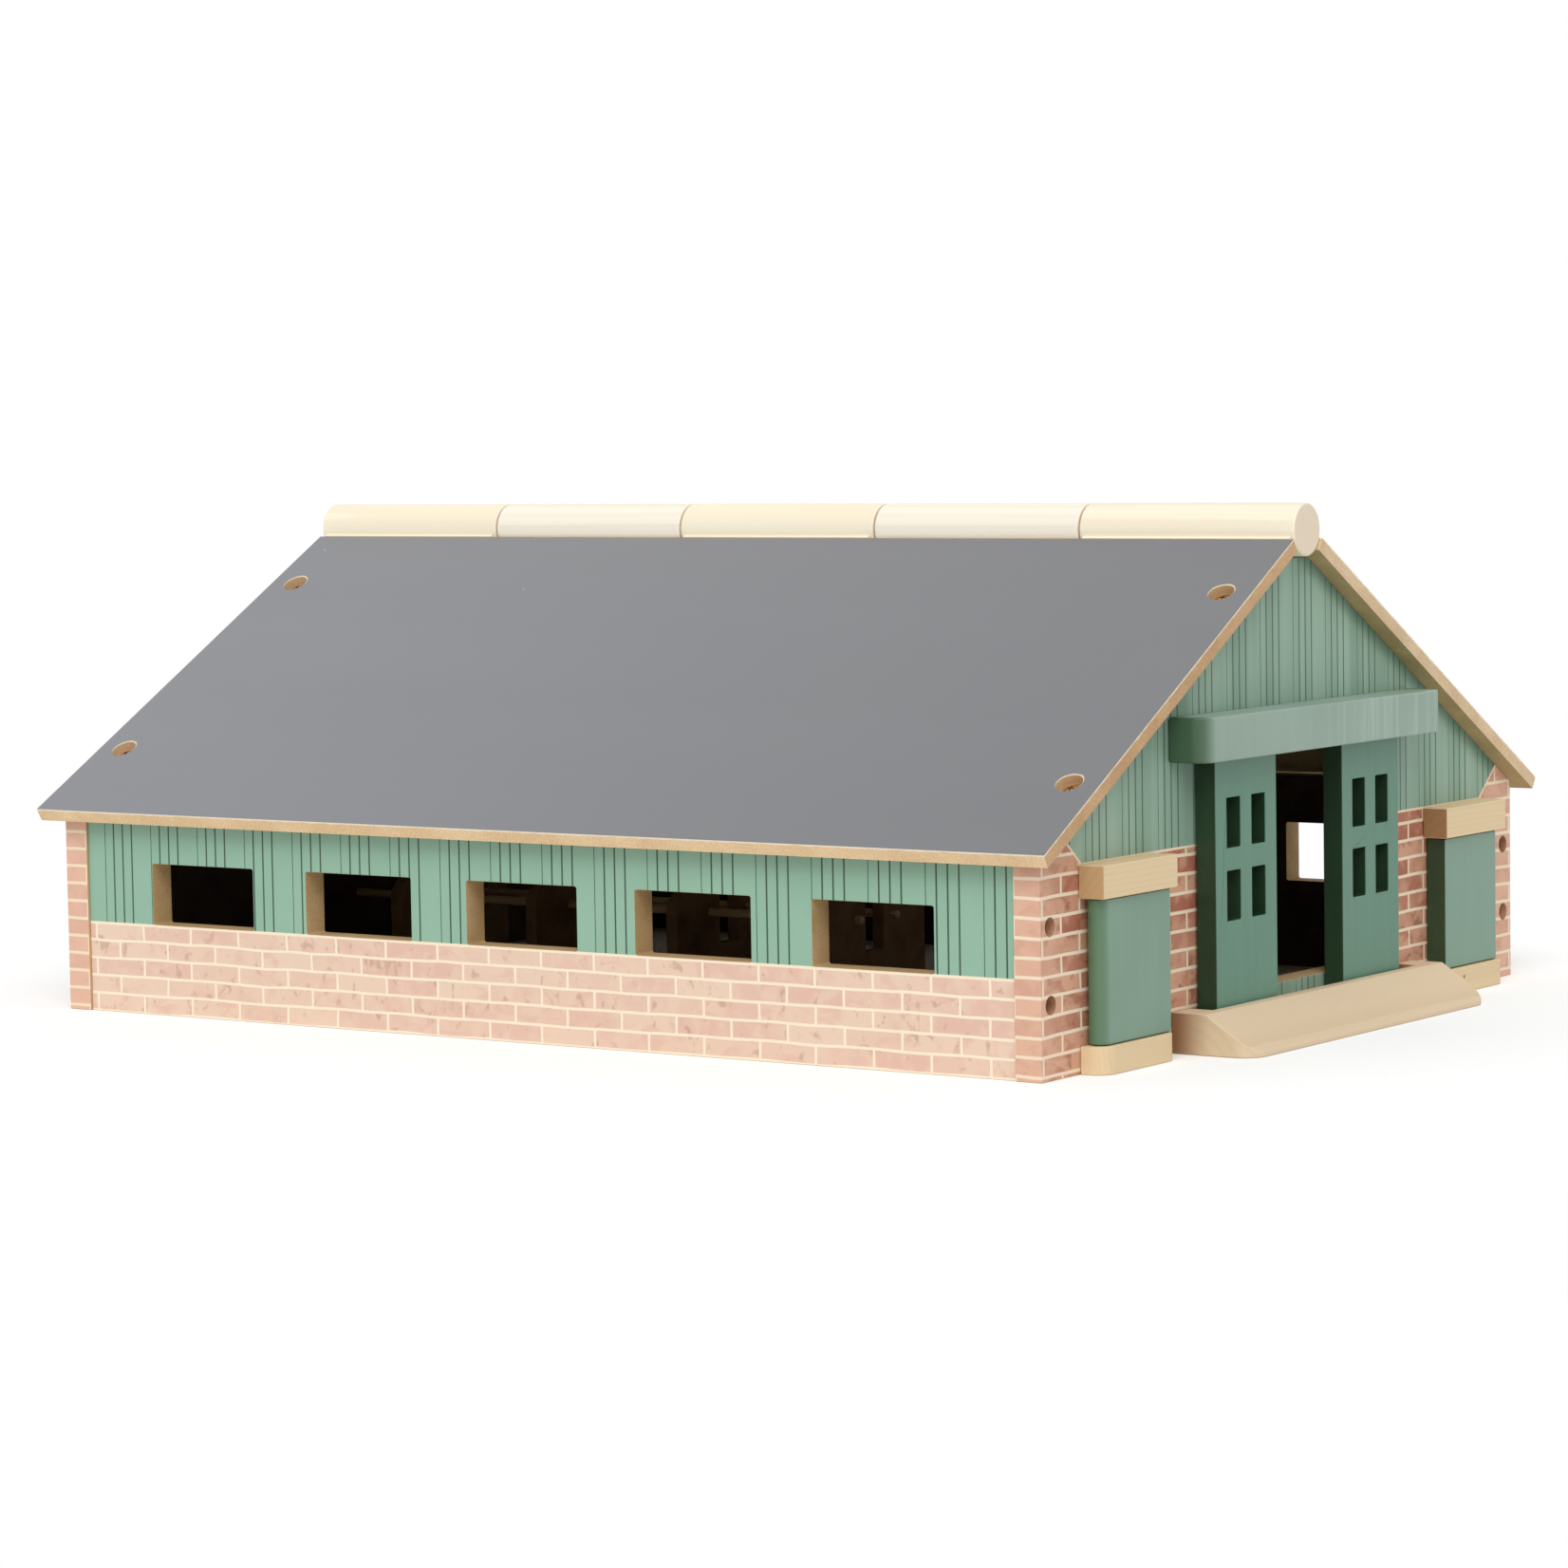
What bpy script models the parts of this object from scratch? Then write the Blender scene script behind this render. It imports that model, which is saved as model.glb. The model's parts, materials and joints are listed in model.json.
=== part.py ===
"""Toy cow barn of printed board and natural wood, with a roof half that folds over its ridge.

Metres, +Z up. The front gable faces -Y, the long walls face -X and +X, and the origin is
on the ground in the middle of the rectangle that the walls stand on.
"""

import math

import bmesh
import bpy
from mathutils import Matrix, Vector

# Fits
GAP = 0.0003
OVERRUN = 0.002

# Boards
GABLE_BOARD = 0.012
SIDE_BOARD = 0.012
SIDE_INSET = 0.0012

# Side windows, whose row sets how long and how high the side walls are
WINDOW_COUNT = 5
WINDOW_WIDTH = 0.057
WINDOW_HEIGHT = 0.0265
WINDOW_SILL = 0.039
WINDOW_CORNER = 0.001
WINDOW_HEAD = 0.0215
PIER_WIDTH = 0.0293
END_MARGIN = 0.03425

# Roof
ROOF_BOARD = 0.006
ROOF_PITCH_DEG = 30
EAVE_OVERHANG = 0.0081
PANEL_CLEARANCE = 0.0012
VERGE = 0.008

# Ridge knuckles and their pins
DOWEL_RADIUS = 0.011
KNUCKLE_COUNT = 5
KNUCKLE_GAP = 0.0006
APEX_CLEARANCE = 0.0007
HINGE_PIN_RADIUS = 0.002
HINGE_PIN_LENGTH = 0.030

# Sliding doors
SLIDER_WIDTH = 0.0495
SLIDER_BOARD = 0.009
SLIDER_PLAY = 0.001
SLIDER_LIFT = 0.0008
LEFT_SLIDER_STOP = 0.0055
RIGHT_SLIDER_STOP = 0.014
LIGHT_WIDTH = 0.011
LIGHT_HEIGHT = 0.020
LIGHT_SPACING = 0.0201
LIGHT_RISE = 0.0293
LIGHT_HEAD = 0.0199

# Lintel and ramp, with the track that the sliding doors run in
TRACK_LENGTH = 0.174
TRACK_DEPTH = 0.005
TRACK_END = 0.014
LINTEL_DEPTH = 0.0177
LINTEL_HEIGHT = 0.018
LINTEL_DROP = 0.0087
LINTEL_CORNER = 0.008
RAMP_DEPTH = 0.038
RAMP_HEIGHT = 0.0165
RAMP_FLAT = 0.016
RAMP_TOE = 0.002
RAMP_CORNER = 0.010

# Main doorway
DOORWAY_WIDTH = 0.095
DOORWAY_STEP = 0.0025

# Side doors and the blocks that carry them
BLOCK_LENGTH = 0.056
BLOCK_DEPTH = 0.0117
BLOCK_SPACING = 0.013
CORNER_MARGIN = 0.0275
SIDE_SILL_HEIGHT = 0.011
SIDE_SILL_CORNER = 0.008
SIDE_LINTEL_HEIGHT = 0.013
SIDE_DOOR_WIDTH = 0.051
SIDE_DOOR_BOARD = 0.009
SIDE_DOOR_PLAY = 0.0004
SIDE_DOOR_STANDOFF = 0.0006
PIVOT_PIN_RADIUS = 0.0015
PIVOT_PIN_LENGTH = 0.014

# Side doorways
SIDE_DOORWAY_WIDTH = 0.036
SIDE_DOORWAY_SHIFT = 0.003
SIDE_DOORWAY_STEP = 0.003
SIDE_DOORWAY_HEIGHT = 0.050
SIDE_DOORWAY_COVER = 0.004

# Screws of the walls, the roof and the pieces on the front gable
SHANK_RADIUS = 0.0017
SCREW_TIP = 0.003
WALL_SCREW_HEIGHT_SHARES = (0.333, 0.678)
WALL_HEAD_RADIUS = 0.0033
WALL_HEAD_HEIGHT = 0.0020
WALL_SCREW_LENGTH = 0.032
WALL_SINK_RADIUS = 0.0037
WALL_SINK_DEPTH = 0.0055
ROOF_SCREW_REACH_SHARES = (0.223, 0.798)
ROOF_HEAD_RADIUS = 0.0036
ROOF_HEAD_HEIGHT = 0.0018
ROOF_SCREW_LENGTH = 0.024
ROOF_SINK_RADIUS = 0.0055
ROOF_SINK_DEPTH = 0.0042
INNER_SINK_DEPTH = 0.0030
LINTEL_BITE_SHARE = 0.55
RAMP_BITE_SHARE = 0.26
BLOCK_BITE_SHARE = 0.70
LINTEL_SCREW_INSET = 0.031
RAMP_SCREW_HEIGHT = 0.006

# Stall dividers, their base beam and neck rails
BASE_WIDTH = 0.012
BASE_HEIGHT = 0.010
BASE_LEAD = 0.045
DIVIDER_COUNT = 4
DIVIDER_BOARD = 0.006
DIVIDER_PITCH = 0.078
DIVIDER_REACH = 0.0395
DIVIDER_HEIGHT = 0.046
DIVIDER_CORNER = 0.010
DIVIDER_SLOT = 0.014
DIVIDER_BRIDGE = 0.010
LAST_STALL = 0.043
RAIL_RADIUS = 0.0019
RAIL_OFFSET = 0.014
RAIL_DROP = 0.011
RAIL_END_DEPTH = 0.005
RAIL_FRONT = 0.006
BASE_SCREW_LENGTH = 0.030

# Round shapes
KNUCKLE_STEPS = 24
ROD_STEPS = 16
ARC_STEPS = 5

# The plan, worked out from the sizes above
PITCH = math.radians(ROOF_PITCH_DEG)
WINDOW_PITCH = WINDOW_WIDTH + PIER_WIDTH
WALL_LENGTH = WINDOW_COUNT * WINDOW_PITCH + 2 * END_MARGIN
WALL_HEIGHT = WINDOW_SILL + WINDOW_HEIGHT + WINDOW_HEAD
LINTEL_LENGTH = TRACK_LENGTH + 2 * TRACK_END
BLOCK_CENTRE = LINTEL_LENGTH / 2 + BLOCK_SPACING + BLOCK_LENGTH / 2
BLOCK_OUTER = BLOCK_CENTRE + BLOCK_LENGTH / 2
GABLE_WIDTH = 2 * (BLOCK_OUTER + CORNER_MARGIN)
WALL_FACE = GABLE_WIDTH / 2 - SIDE_INSET
FRONT = -WALL_LENGTH / 2
REAR = WALL_LENGTH / 2
TRACK_WIDTH = SLIDER_BOARD + 2 * SLIDER_PLAY
PIVOT_X = BLOCK_CENTRE + SIDE_DOOR_WIDTH / 2 - SIDE_DOOR_BOARD / 2
PIVOT_Y = FRONT - SIDE_DOOR_STANDOFF - SIDE_DOOR_BOARD / 2

# The roof and what follows its height
ROOF_SEAT = (ROOF_BOARD / 2 + GAP) / math.cos(PITCH)
RIDGE_HEIGHT = WALL_HEIGHT + WALL_FACE * math.tan(PITCH) + ROOF_SEAT
DOWEL_END = DOWEL_RADIUS + PANEL_CLEARANCE
PANEL_REACH = (GABLE_WIDTH / 2 + EAVE_OVERHANG) / math.cos(PITCH)
PANEL_LENGTH = WALL_LENGTH + 2 * VERGE
LINTEL_ROOM = RIDGE_HEIGHT - LINTEL_LENGTH / 2 * math.tan(PITCH) - ROOF_SEAT
LINTEL_BOTTOM = LINTEL_ROOM - LINTEL_DROP - LINTEL_HEIGHT
DOORWAY_SILL = RAMP_HEIGHT + DOORWAY_STEP
DOORWAY_TOP = LINTEL_BOTTOM
SIDE_DOORWAY_SILL = SIDE_SILL_HEIGHT + SIDE_DOORWAY_STEP
SIDE_LINTEL_BOTTOM = SIDE_DOORWAY_SILL + SIDE_DOORWAY_HEIGHT + SIDE_DOORWAY_COVER

# The row of stalls, placed from the rear gable
DIVIDER_LAST = REAR - GABLE_BOARD - LAST_STALL
DIVIDER_FIRST = DIVIDER_LAST - (DIVIDER_COUNT - 1) * DIVIDER_PITCH
BASE_START = DIVIDER_FIRST - BASE_LEAD
RAIL_HEIGHT = DIVIDER_HEIGHT - RAIL_DROP

# Looks: colour, and with it the roughness where a piece is made
GREY = (0.26, 0.27, 0.28)
BOARD_BROWN = (0.58, 0.42, 0.26)
MINT = (0.30, 0.52, 0.40)
DOOR_GREEN = (0.15, 0.31, 0.23)
BEECH = (0.72, 0.53, 0.33)
RIDGE_CREAM = (0.86, 0.76, 0.58)
STEEL = (0.62, 0.62, 0.60)


def clear_scene():
    for old in list(bpy.data.objects):
        bpy.data.objects.remove(old, do_unlink=True)


def new_collection(name):
    collection = bpy.data.collections.new(name)
    bpy.context.scene.collection.children.link(collection)
    return collection


def material(name, colour, roughness, metallic=0.0):
    made = bpy.data.materials.new(name)
    made.use_nodes = True
    shader = made.node_tree.nodes["Principled BSDF"]
    shader.inputs["Base Color"].default_value = (*colour, 1.0)
    shader.inputs["Roughness"].default_value = roughness
    shader.inputs["Metallic"].default_value = metallic
    return made


def add(name, mesh, look, collection):
    """Put the mesh in the collection as an object with a material of its own."""
    made = bpy.data.objects.new(name, mesh)
    collection.objects.link(made)
    if look:
        mesh.materials.clear()
        mesh.materials.append(material(name, *look))
    return made


def add_copies(names, places, mesh, look):
    """The same mesh as one object at each place."""
    for name, place in zip(names, places):
        made = add(name, mesh, None if mesh.materials else look, BARN)
        made.matrix_world = place


def add_cutter(name, mesh):
    made = add(name, mesh, None, CUTTERS)
    made.hide_render = True
    made.display_type = "WIRE"
    return made


def cut(target, cutter):
    modifier = target.modifiers.new(cutter.name, "BOOLEAN")
    modifier.operation = "DIFFERENCE"
    modifier.solver = "EXACT"
    modifier.object = cutter


def box_mesh(name, low, high):
    """A box between two corners."""
    low, high = Vector(low), Vector(high)
    bm = bmesh.new()
    bmesh.ops.create_cube(bm, size=1)
    place = Matrix.Translation((low + high) / 2) @ Matrix.Diagonal((*(high - low), 1))
    bmesh.ops.transform(bm, matrix=place, verts=bm.verts)
    mesh = bpy.data.meshes.new(name)
    bm.to_mesh(mesh)
    bm.free()
    return mesh


def rod_mesh(name, radius, length):
    """A round rod along local Z, centred on its origin."""
    bm = bmesh.new()
    bmesh.ops.create_cone(bm, cap_ends=True, segments=ROD_STEPS,
                          radius1=radius, radius2=radius, depth=length)
    mesh = bpy.data.meshes.new(name)
    bm.to_mesh(mesh)
    bm.free()
    mesh.shade_smooth()
    mesh.set_sharp_from_angle(angle=PITCH)
    return mesh


def plate_mesh(name, outlines, thickness):
    """A flat plate in local XY, centred on its thickness; later outlines are its openings."""
    curve = bpy.data.curves.new(name, "CURVE")
    curve.dimensions = "2D"
    curve.fill_mode = "BOTH"
    curve.extrude = thickness / 2
    for outline in outlines:
        spline = curve.splines.new("POLY")
        spline.points.add(len(outline) - 1)
        for point, (x, y) in zip(spline.points, outline):
            point.co = (x, y, 0, 1)
        spline.use_cyclic_u = True
    drawn = bpy.data.objects.new(name, curve)
    bpy.context.scene.collection.objects.link(drawn)
    depsgraph = bpy.context.evaluated_depsgraph_get()
    mesh = bpy.data.meshes.new_from_object(drawn.evaluated_get(depsgraph))
    bpy.data.objects.remove(drawn)
    bpy.data.curves.remove(curve)
    bm = bmesh.new()
    bm.from_mesh(mesh)
    bmesh.ops.remove_doubles(bm, verts=bm.verts, dist=GAP / 100)
    bmesh.ops.recalc_face_normals(bm, faces=bm.faces)
    bm.to_mesh(mesh)
    bm.free()
    mesh.name = name
    return mesh


def turned_mesh(name, profile):
    """A turned solid from a profile of radius and height, from the top down."""
    sketch = bpy.data.meshes.new(name + "_profile")
    points = [(radius, 0, height) for radius, height in profile]
    edges = [(i, i + 1) for i in range(len(points) - 1)]
    sketch.from_pydata(points, edges, [])
    holder = bpy.data.objects.new(name, sketch)
    bpy.context.scene.collection.objects.link(holder)
    screw = holder.modifiers.new("turn", "SCREW")
    screw.steps = ROD_STEPS
    screw.render_steps = ROD_STEPS
    screw.use_merge_vertices = True
    screw.merge_threshold = GAP / 100
    depsgraph = bpy.context.evaluated_depsgraph_get()
    mesh = bpy.data.meshes.new_from_object(holder.evaluated_get(depsgraph))
    bpy.data.objects.remove(holder)
    bpy.data.meshes.remove(sketch)
    mesh.name = name
    return mesh


def copies_mesh(name, mesh, places):
    """One mesh with a separate copy of the given one at each place."""
    bm = bmesh.new()
    for place in places:
        start = len(bm.verts)
        bm.from_mesh(mesh)
        bm.verts.ensure_lookup_table()
        bmesh.ops.transform(bm, matrix=place, verts=bm.verts[start:])
    joined = bpy.data.meshes.new(name)
    bm.to_mesh(joined)
    bm.free()
    bpy.data.meshes.remove(mesh)
    return joined


def rectangle(low_x, low_y, high_x, high_y):
    return [(low_x, low_y), (high_x, low_y), (high_x, high_y), (low_x, high_y)]


def arc(x, y, radius, start_deg, end_deg):
    """Points on an arc, its ends included."""
    points = []
    for step in range(ARC_STEPS + 1):
        angle = math.radians(start_deg + (end_deg - start_deg) * step / ARC_STEPS)
        points.append((x + radius * math.cos(angle), y + radius * math.sin(angle)))
    return points


def rounded_rectangle(low_x, low_y, high_x, high_y, radius):
    return (arc(high_x - radius, high_y - radius, radius, 0, 90)
            + arc(low_x + radius, high_y - radius, radius, 90, 180)
            + arc(low_x + radius, low_y + radius, radius, 180, 270)
            + arc(high_x - radius, low_y + radius, radius, 270, 360))


def turned_about(axis, degrees):
    return Matrix.Rotation(math.radians(degrees), 4, axis)


def facing(direction, x, y, z):
    """A frame at the point whose local Z runs along a world direction, out of the work."""
    turn = Vector(direction).to_track_quat("Z", "Y").to_matrix().to_4x4()
    return Matrix.Translation((x, y, z)) @ turn


def screw_set(names, places, head_radius, head_height, length, sink_radius, sink_depth):
    """Pan-head screws sunk in stepped holes, and the cutter of their holes."""
    seat = -sink_depth + GAP
    tip = seat - length
    screw = [(0, seat + head_height), (head_radius, seat + head_height), (head_radius, seat),
             (SHANK_RADIUS, seat), (SHANK_RADIUS, tip + SCREW_TIP), (0, tip)]
    bore = SHANK_RADIUS + GAP
    hole = [(0, OVERRUN), (sink_radius, OVERRUN), (sink_radius, -sink_depth),
            (bore, -sink_depth), (bore, tip - GAP), (0, tip - GAP)]
    mesh = turned_mesh(names[0], screw)
    mesh.shade_smooth()
    mesh.set_sharp_from_angle(angle=PITCH)
    add_copies(names, places, mesh, (STEEL, 0.35, 1.0))
    holes = "holes_of_" + names[0]
    return add_cutter(holes, copies_mesh(holes, turned_mesh("hole", hole), places))


def numbered(name, places):
    return [f"{name}_{index + 1}" for index in range(len(places))]


def wall_screws(name, y, side):
    """Four screws through a gable into the ends of the side walls."""
    x = WALL_FACE - SIDE_BOARD / 2
    places = [facing((0, side, 0), sign * x, y, share * WALL_HEIGHT)
              for sign in (-1, 1) for share in WALL_SCREW_HEIGHT_SHARES]
    return screw_set(numbered(name, places), places, WALL_HEAD_RADIUS, WALL_HEAD_HEIGHT,
                     WALL_SCREW_LENGTH, WALL_SINK_RADIUS, WALL_SINK_DEPTH)


def roof_screws():
    """Four screws down through the fixed panel into the top edges of the gables."""
    y = WALL_LENGTH / 2 - GABLE_BOARD / 2
    places = []
    for share in ROOF_SCREW_REACH_SHARES:
        reach = share * PANEL_REACH
        x = -reach * math.cos(PITCH) - ROOF_BOARD / 2 * math.sin(PITCH)
        z = RIDGE_HEIGHT - reach * math.sin(PITCH) + ROOF_BOARD / 2 * math.cos(PITCH)
        for sign in (-1, 1):
            places.append(facing((-math.sin(PITCH), 0, math.cos(PITCH)), x, sign * y, z))
    return screw_set(numbered("roof_screw", places), places, ROOF_HEAD_RADIUS,
                     ROOF_HEAD_HEIGHT, ROOF_SCREW_LENGTH, ROOF_SINK_RADIUS, ROOF_SINK_DEPTH)


def inner_screws(name, offset, height, bite):
    """A left and a right screw from inside, through the front gable into a piece on it."""
    places = [facing((0, 1, 0), side * offset, FRONT + GABLE_BOARD, height)
              for side in (-1, 1)]
    length = GABLE_BOARD - INNER_SINK_DEPTH + bite
    return screw_set([name + "_left", name + "_right"], places, WALL_HEAD_RADIUS,
                     WALL_HEAD_HEIGHT, length, WALL_SINK_RADIUS, INNER_SINK_DEPTH)


def gable_outline():
    """The gable from its foot up to the flat under the ridge knuckles."""
    half = GABLE_WIDTH / 2
    top = RIDGE_HEIGHT - DOWEL_RADIUS - APEX_CLEARANCE
    seat = RIDGE_HEIGHT - ROOF_SEAT
    shoulder = (seat - top) / math.tan(PITCH)
    eave = seat - half * math.tan(PITCH)
    return [(-half, 0), (half, 0), (half, eave), (shoulder, top), (-shoulder, top),
            (-half, eave)]


def front_openings():
    half = DOORWAY_WIDTH / 2
    openings = [rectangle(-half, DOORWAY_SILL, half, DOORWAY_TOP)]
    for side in (-1, 1):
        middle = side * (BLOCK_CENTRE - SIDE_DOORWAY_SHIFT)
        openings.append(rectangle(middle - SIDE_DOORWAY_WIDTH / 2, SIDE_DOORWAY_SILL,
                                  middle + SIDE_DOORWAY_WIDTH / 2,
                                  SIDE_DOORWAY_SILL + SIDE_DOORWAY_HEIGHT))
    return openings


def gable(name, y, openings, look):
    mesh = plate_mesh(name, [gable_outline()] + openings, GABLE_BOARD)
    made = add(name, mesh, look, BARN)
    made.location = (0, y, 0)
    made.rotation_euler = (math.pi / 2, 0, 0)
    return made


def side_wall(name, side):
    """A long wall with its row of windows, between the gables."""
    half = WALL_LENGTH / 2 - GABLE_BOARD - GAP
    outlines = [rectangle(-half, 0, half, WALL_HEIGHT)]
    for index in range(WINDOW_COUNT):
        middle = (index - (WINDOW_COUNT - 1) / 2) * WINDOW_PITCH
        outlines.append(rounded_rectangle(middle - WINDOW_WIDTH / 2, WINDOW_SILL,
                                          middle + WINDOW_WIDTH / 2,
                                          WINDOW_SILL + WINDOW_HEIGHT, WINDOW_CORNER))
    made = add(name, plate_mesh(name, outlines, SIDE_BOARD), (MINT, 0.55), BARN)
    made.location = (side * (WALL_FACE - SIDE_BOARD / 2), 0, 0)
    made.rotation_euler = (math.pi / 2, 0, math.pi / 2)
    return made


def ridge_axis(name, side):
    """Empty on the ridge line whose local X runs down the roof half on that side."""
    empty = bpy.data.objects.new(name, None)
    BARN.objects.link(empty)
    empty.location = (0, 0, RIDGE_HEIGHT)
    empty.rotation_euler = (0, PITCH if side > 0 else math.pi - PITCH, 0)
    return empty


def roof_panel(name, axis, side):
    """A roof board: local X from the ridge down, local Z out of the roof or into it."""
    half = PANEL_LENGTH / 2
    mesh = box_mesh(name, (DOWEL_END, -half, -ROOF_BOARD / 2),
                    (PANEL_REACH, half, ROOF_BOARD / 2))
    made = add(name, mesh, (GREY, 0.5), BARN)
    made.parent = axis
    return made


def knuckle_outline():
    """A round knuckle with a short tongue that meets the end of its roof board, along +X."""
    half = ROOF_BOARD / 2
    reach = DOWEL_END - GAP
    root = math.asin(half / DOWEL_RADIUS)
    points = [(reach, -half), (reach, half)]
    for step in range(KNUCKLE_STEPS + 1):
        angle = root + 2 * (math.pi - root) * step / KNUCKLE_STEPS
        points.append((DOWEL_RADIUS * math.cos(angle), DOWEL_RADIUS * math.sin(angle)))
    return points


def knuckle(index, axis):
    """One of the round knuckles along the ridge, bored at both inner ends for the pins."""
    name = f"ridge_knuckle_{index + 1}"
    spacing = PANEL_LENGTH / KNUCKLE_COUNT
    mesh = plate_mesh(name, [knuckle_outline()], spacing - KNUCKLE_GAP)
    mesh.transform(turned_about("X", 90))
    middle = -PANEL_LENGTH / 2 + spacing / 2 + index * spacing
    mesh.transform(Matrix.Translation((0, middle, 0)))
    mesh.shade_smooth()
    mesh.set_sharp_from_angle(angle=PITCH)
    made = add(name, mesh, (RIDGE_CREAM, 0.5), BARN)
    made.parent = axis
    return made


def pin_places():
    """Frames of the hinge pins, one at each meeting of two knuckles."""
    spacing = PANEL_LENGTH / KNUCKLE_COUNT
    start = -PANEL_LENGTH / 2
    return [Matrix.Translation((0, start + index * spacing, RIDGE_HEIGHT))
            @ turned_about("X", 90) for index in range(1, KNUCKLE_COUNT)]


def hinge_pins():
    """The steel pins, and the cutter of their blind bores."""
    places = pin_places()
    pin = rod_mesh("hinge_pin", HINGE_PIN_RADIUS, HINGE_PIN_LENGTH)
    add_copies(numbered("hinge_pin", places), places, pin, (STEEL, 0.3, 1.0))
    bore = rod_mesh("pin_bore", HINGE_PIN_RADIUS + GAP, HINGE_PIN_LENGTH + 2 * GAP)
    return add_cutter("pin_bores", copies_mesh("pin_bores", bore, places))


def lintel():
    """The box over the sliding doors, with the upper track in its underside."""
    half = LINTEL_LENGTH / 2
    back = FRONT - GAP
    face = FRONT - LINTEL_DEPTH
    corner = LINTEL_CORNER
    outline = ([(half, back), (-half, back)]
               + arc(-half + corner, face + corner, corner, 180, 270)
               + arc(half - corner, face + corner, corner, 270, 360))
    made = add("door_lintel", plate_mesh("door_lintel", [outline], LINTEL_HEIGHT),
               (DOOR_GREEN, 0.45), BARN)
    made.location = (0, 0, LINTEL_BOTTOM + LINTEL_HEIGHT / 2)
    track = box_mesh("upper_track", (-TRACK_LENGTH / 2, FRONT - TRACK_WIDTH,
                                     LINTEL_BOTTOM - OVERRUN),
                     (TRACK_LENGTH / 2, FRONT + OVERRUN, LINTEL_BOTTOM + TRACK_DEPTH))
    cut(made, add_cutter("upper_track", track))
    return made


def ramp():
    """A wedge of wood with two round front corners and the lower track at the wall."""
    half = LINTEL_LENGTH / 2
    back = FRONT - GAP
    toe = FRONT - RAMP_DEPTH
    side_view = [(back, 0), (back, RAMP_HEIGHT), (FRONT - RAMP_FLAT, RAMP_HEIGHT),
                 (toe, RAMP_TOE), (toe, 0)]
    made = add("ramp", plate_mesh("ramp", [side_view], LINTEL_LENGTH), (BEECH, 0.6), BARN)
    made.rotation_euler = (math.pi / 2, 0, math.pi / 2)
    top_view = ([(half, FRONT + OVERRUN), (-half, FRONT + OVERRUN)]
                + arc(-half + RAMP_CORNER, toe + RAMP_CORNER, RAMP_CORNER, 180, 270)
                + arc(half - RAMP_CORNER, toe + RAMP_CORNER, RAMP_CORNER, 270, 360))
    rounding = add_cutter("ramp_rounding",
                          plate_mesh("ramp_rounding", [top_view], 4 * RAMP_HEIGHT))
    modifier = made.modifiers.new("round_corners", "BOOLEAN")
    modifier.operation = "INTERSECT"
    modifier.solver = "EXACT"
    modifier.object = rounding
    track = box_mesh("lower_track", (-TRACK_LENGTH / 2, FRONT - TRACK_WIDTH,
                                     RAMP_HEIGHT - TRACK_DEPTH),
                     (TRACK_LENGTH / 2, FRONT + OVERRUN, RAMP_HEIGHT + OVERRUN))
    cut(made, add_cutter("lower_track", track))
    return made


def sliding_door(name, side, stop):
    """A green door with four lights, in the track at a distance from the track's end."""
    bottom = RAMP_HEIGHT - TRACK_DEPTH + GAP
    top = LINTEL_BOTTOM + TRACK_DEPTH - SLIDER_LIFT
    half = SLIDER_WIDTH / 2
    outlines = [rectangle(-half, bottom, half, top)]
    for column in (-1, 1):
        for row in (0, 1):
            x = column * LIGHT_SPACING / 2
            z = top - LIGHT_HEAD - LIGHT_HEIGHT - row * LIGHT_RISE
            outlines.append(rectangle(x - LIGHT_WIDTH / 2, z, x + LIGHT_WIDTH / 2,
                                      z + LIGHT_HEIGHT))
    made = add(name, plate_mesh(name, outlines, SLIDER_BOARD), (DOOR_GREEN, 0.45), BARN)
    made.location = (side * (TRACK_LENGTH / 2 - stop - half), FRONT - TRACK_WIDTH / 2, 0)
    made.rotation_euler = (math.pi / 2, 0, 0)
    return made


def side_blocks(word, side):
    """The plain blocks over and under a side door, the lower one with round front corners."""
    low, high = sorted((side * (BLOCK_CENTRE - BLOCK_LENGTH / 2), side * BLOCK_OUTER))
    back = FRONT - GAP
    face = FRONT - BLOCK_DEPTH
    over = box_mesh("side_lintel_" + word, (low, face, SIDE_LINTEL_BOTTOM),
                    (high, back, SIDE_LINTEL_BOTTOM + SIDE_LINTEL_HEIGHT))
    corner = SIDE_SILL_CORNER
    outline = ([(high, back), (low, back)]
               + arc(low + corner, face + corner, corner, 180, 270)
               + arc(high - corner, face + corner, corner, 270, 360))
    under = plate_mesh("side_sill_" + word, [outline], SIDE_SILL_HEIGHT)
    lintel_block = add("side_lintel_" + word, over, (BEECH, 0.6), BARN)
    sill_block = add("side_sill_" + word, under, (BEECH, 0.6), BARN)
    sill_block.location = (0, 0, SIDE_SILL_HEIGHT / 2)
    return lintel_block, sill_block


def side_door(word, side):
    """A door with its pivot edge fully rounded, its origin on the pivot axis."""
    name = "side_door_" + word
    radius = SIDE_DOOR_BOARD / 2
    free = side * -(SIDE_DOOR_WIDTH - radius)
    start = -90 if side > 0 else 90
    outline = ([(free, side * radius), (free, -side * radius)]
               + arc(0, 0, radius, start, start + 180))
    bottom = SIDE_SILL_HEIGHT + SIDE_DOOR_PLAY
    top = SIDE_LINTEL_BOTTOM - SIDE_DOOR_PLAY
    made = add(name, plate_mesh(name, [outline], top - bottom), (DOOR_GREEN, 0.45), BARN)
    made.location = (side * PIVOT_X, PIVOT_Y, (bottom + top) / 2)
    return made


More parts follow.
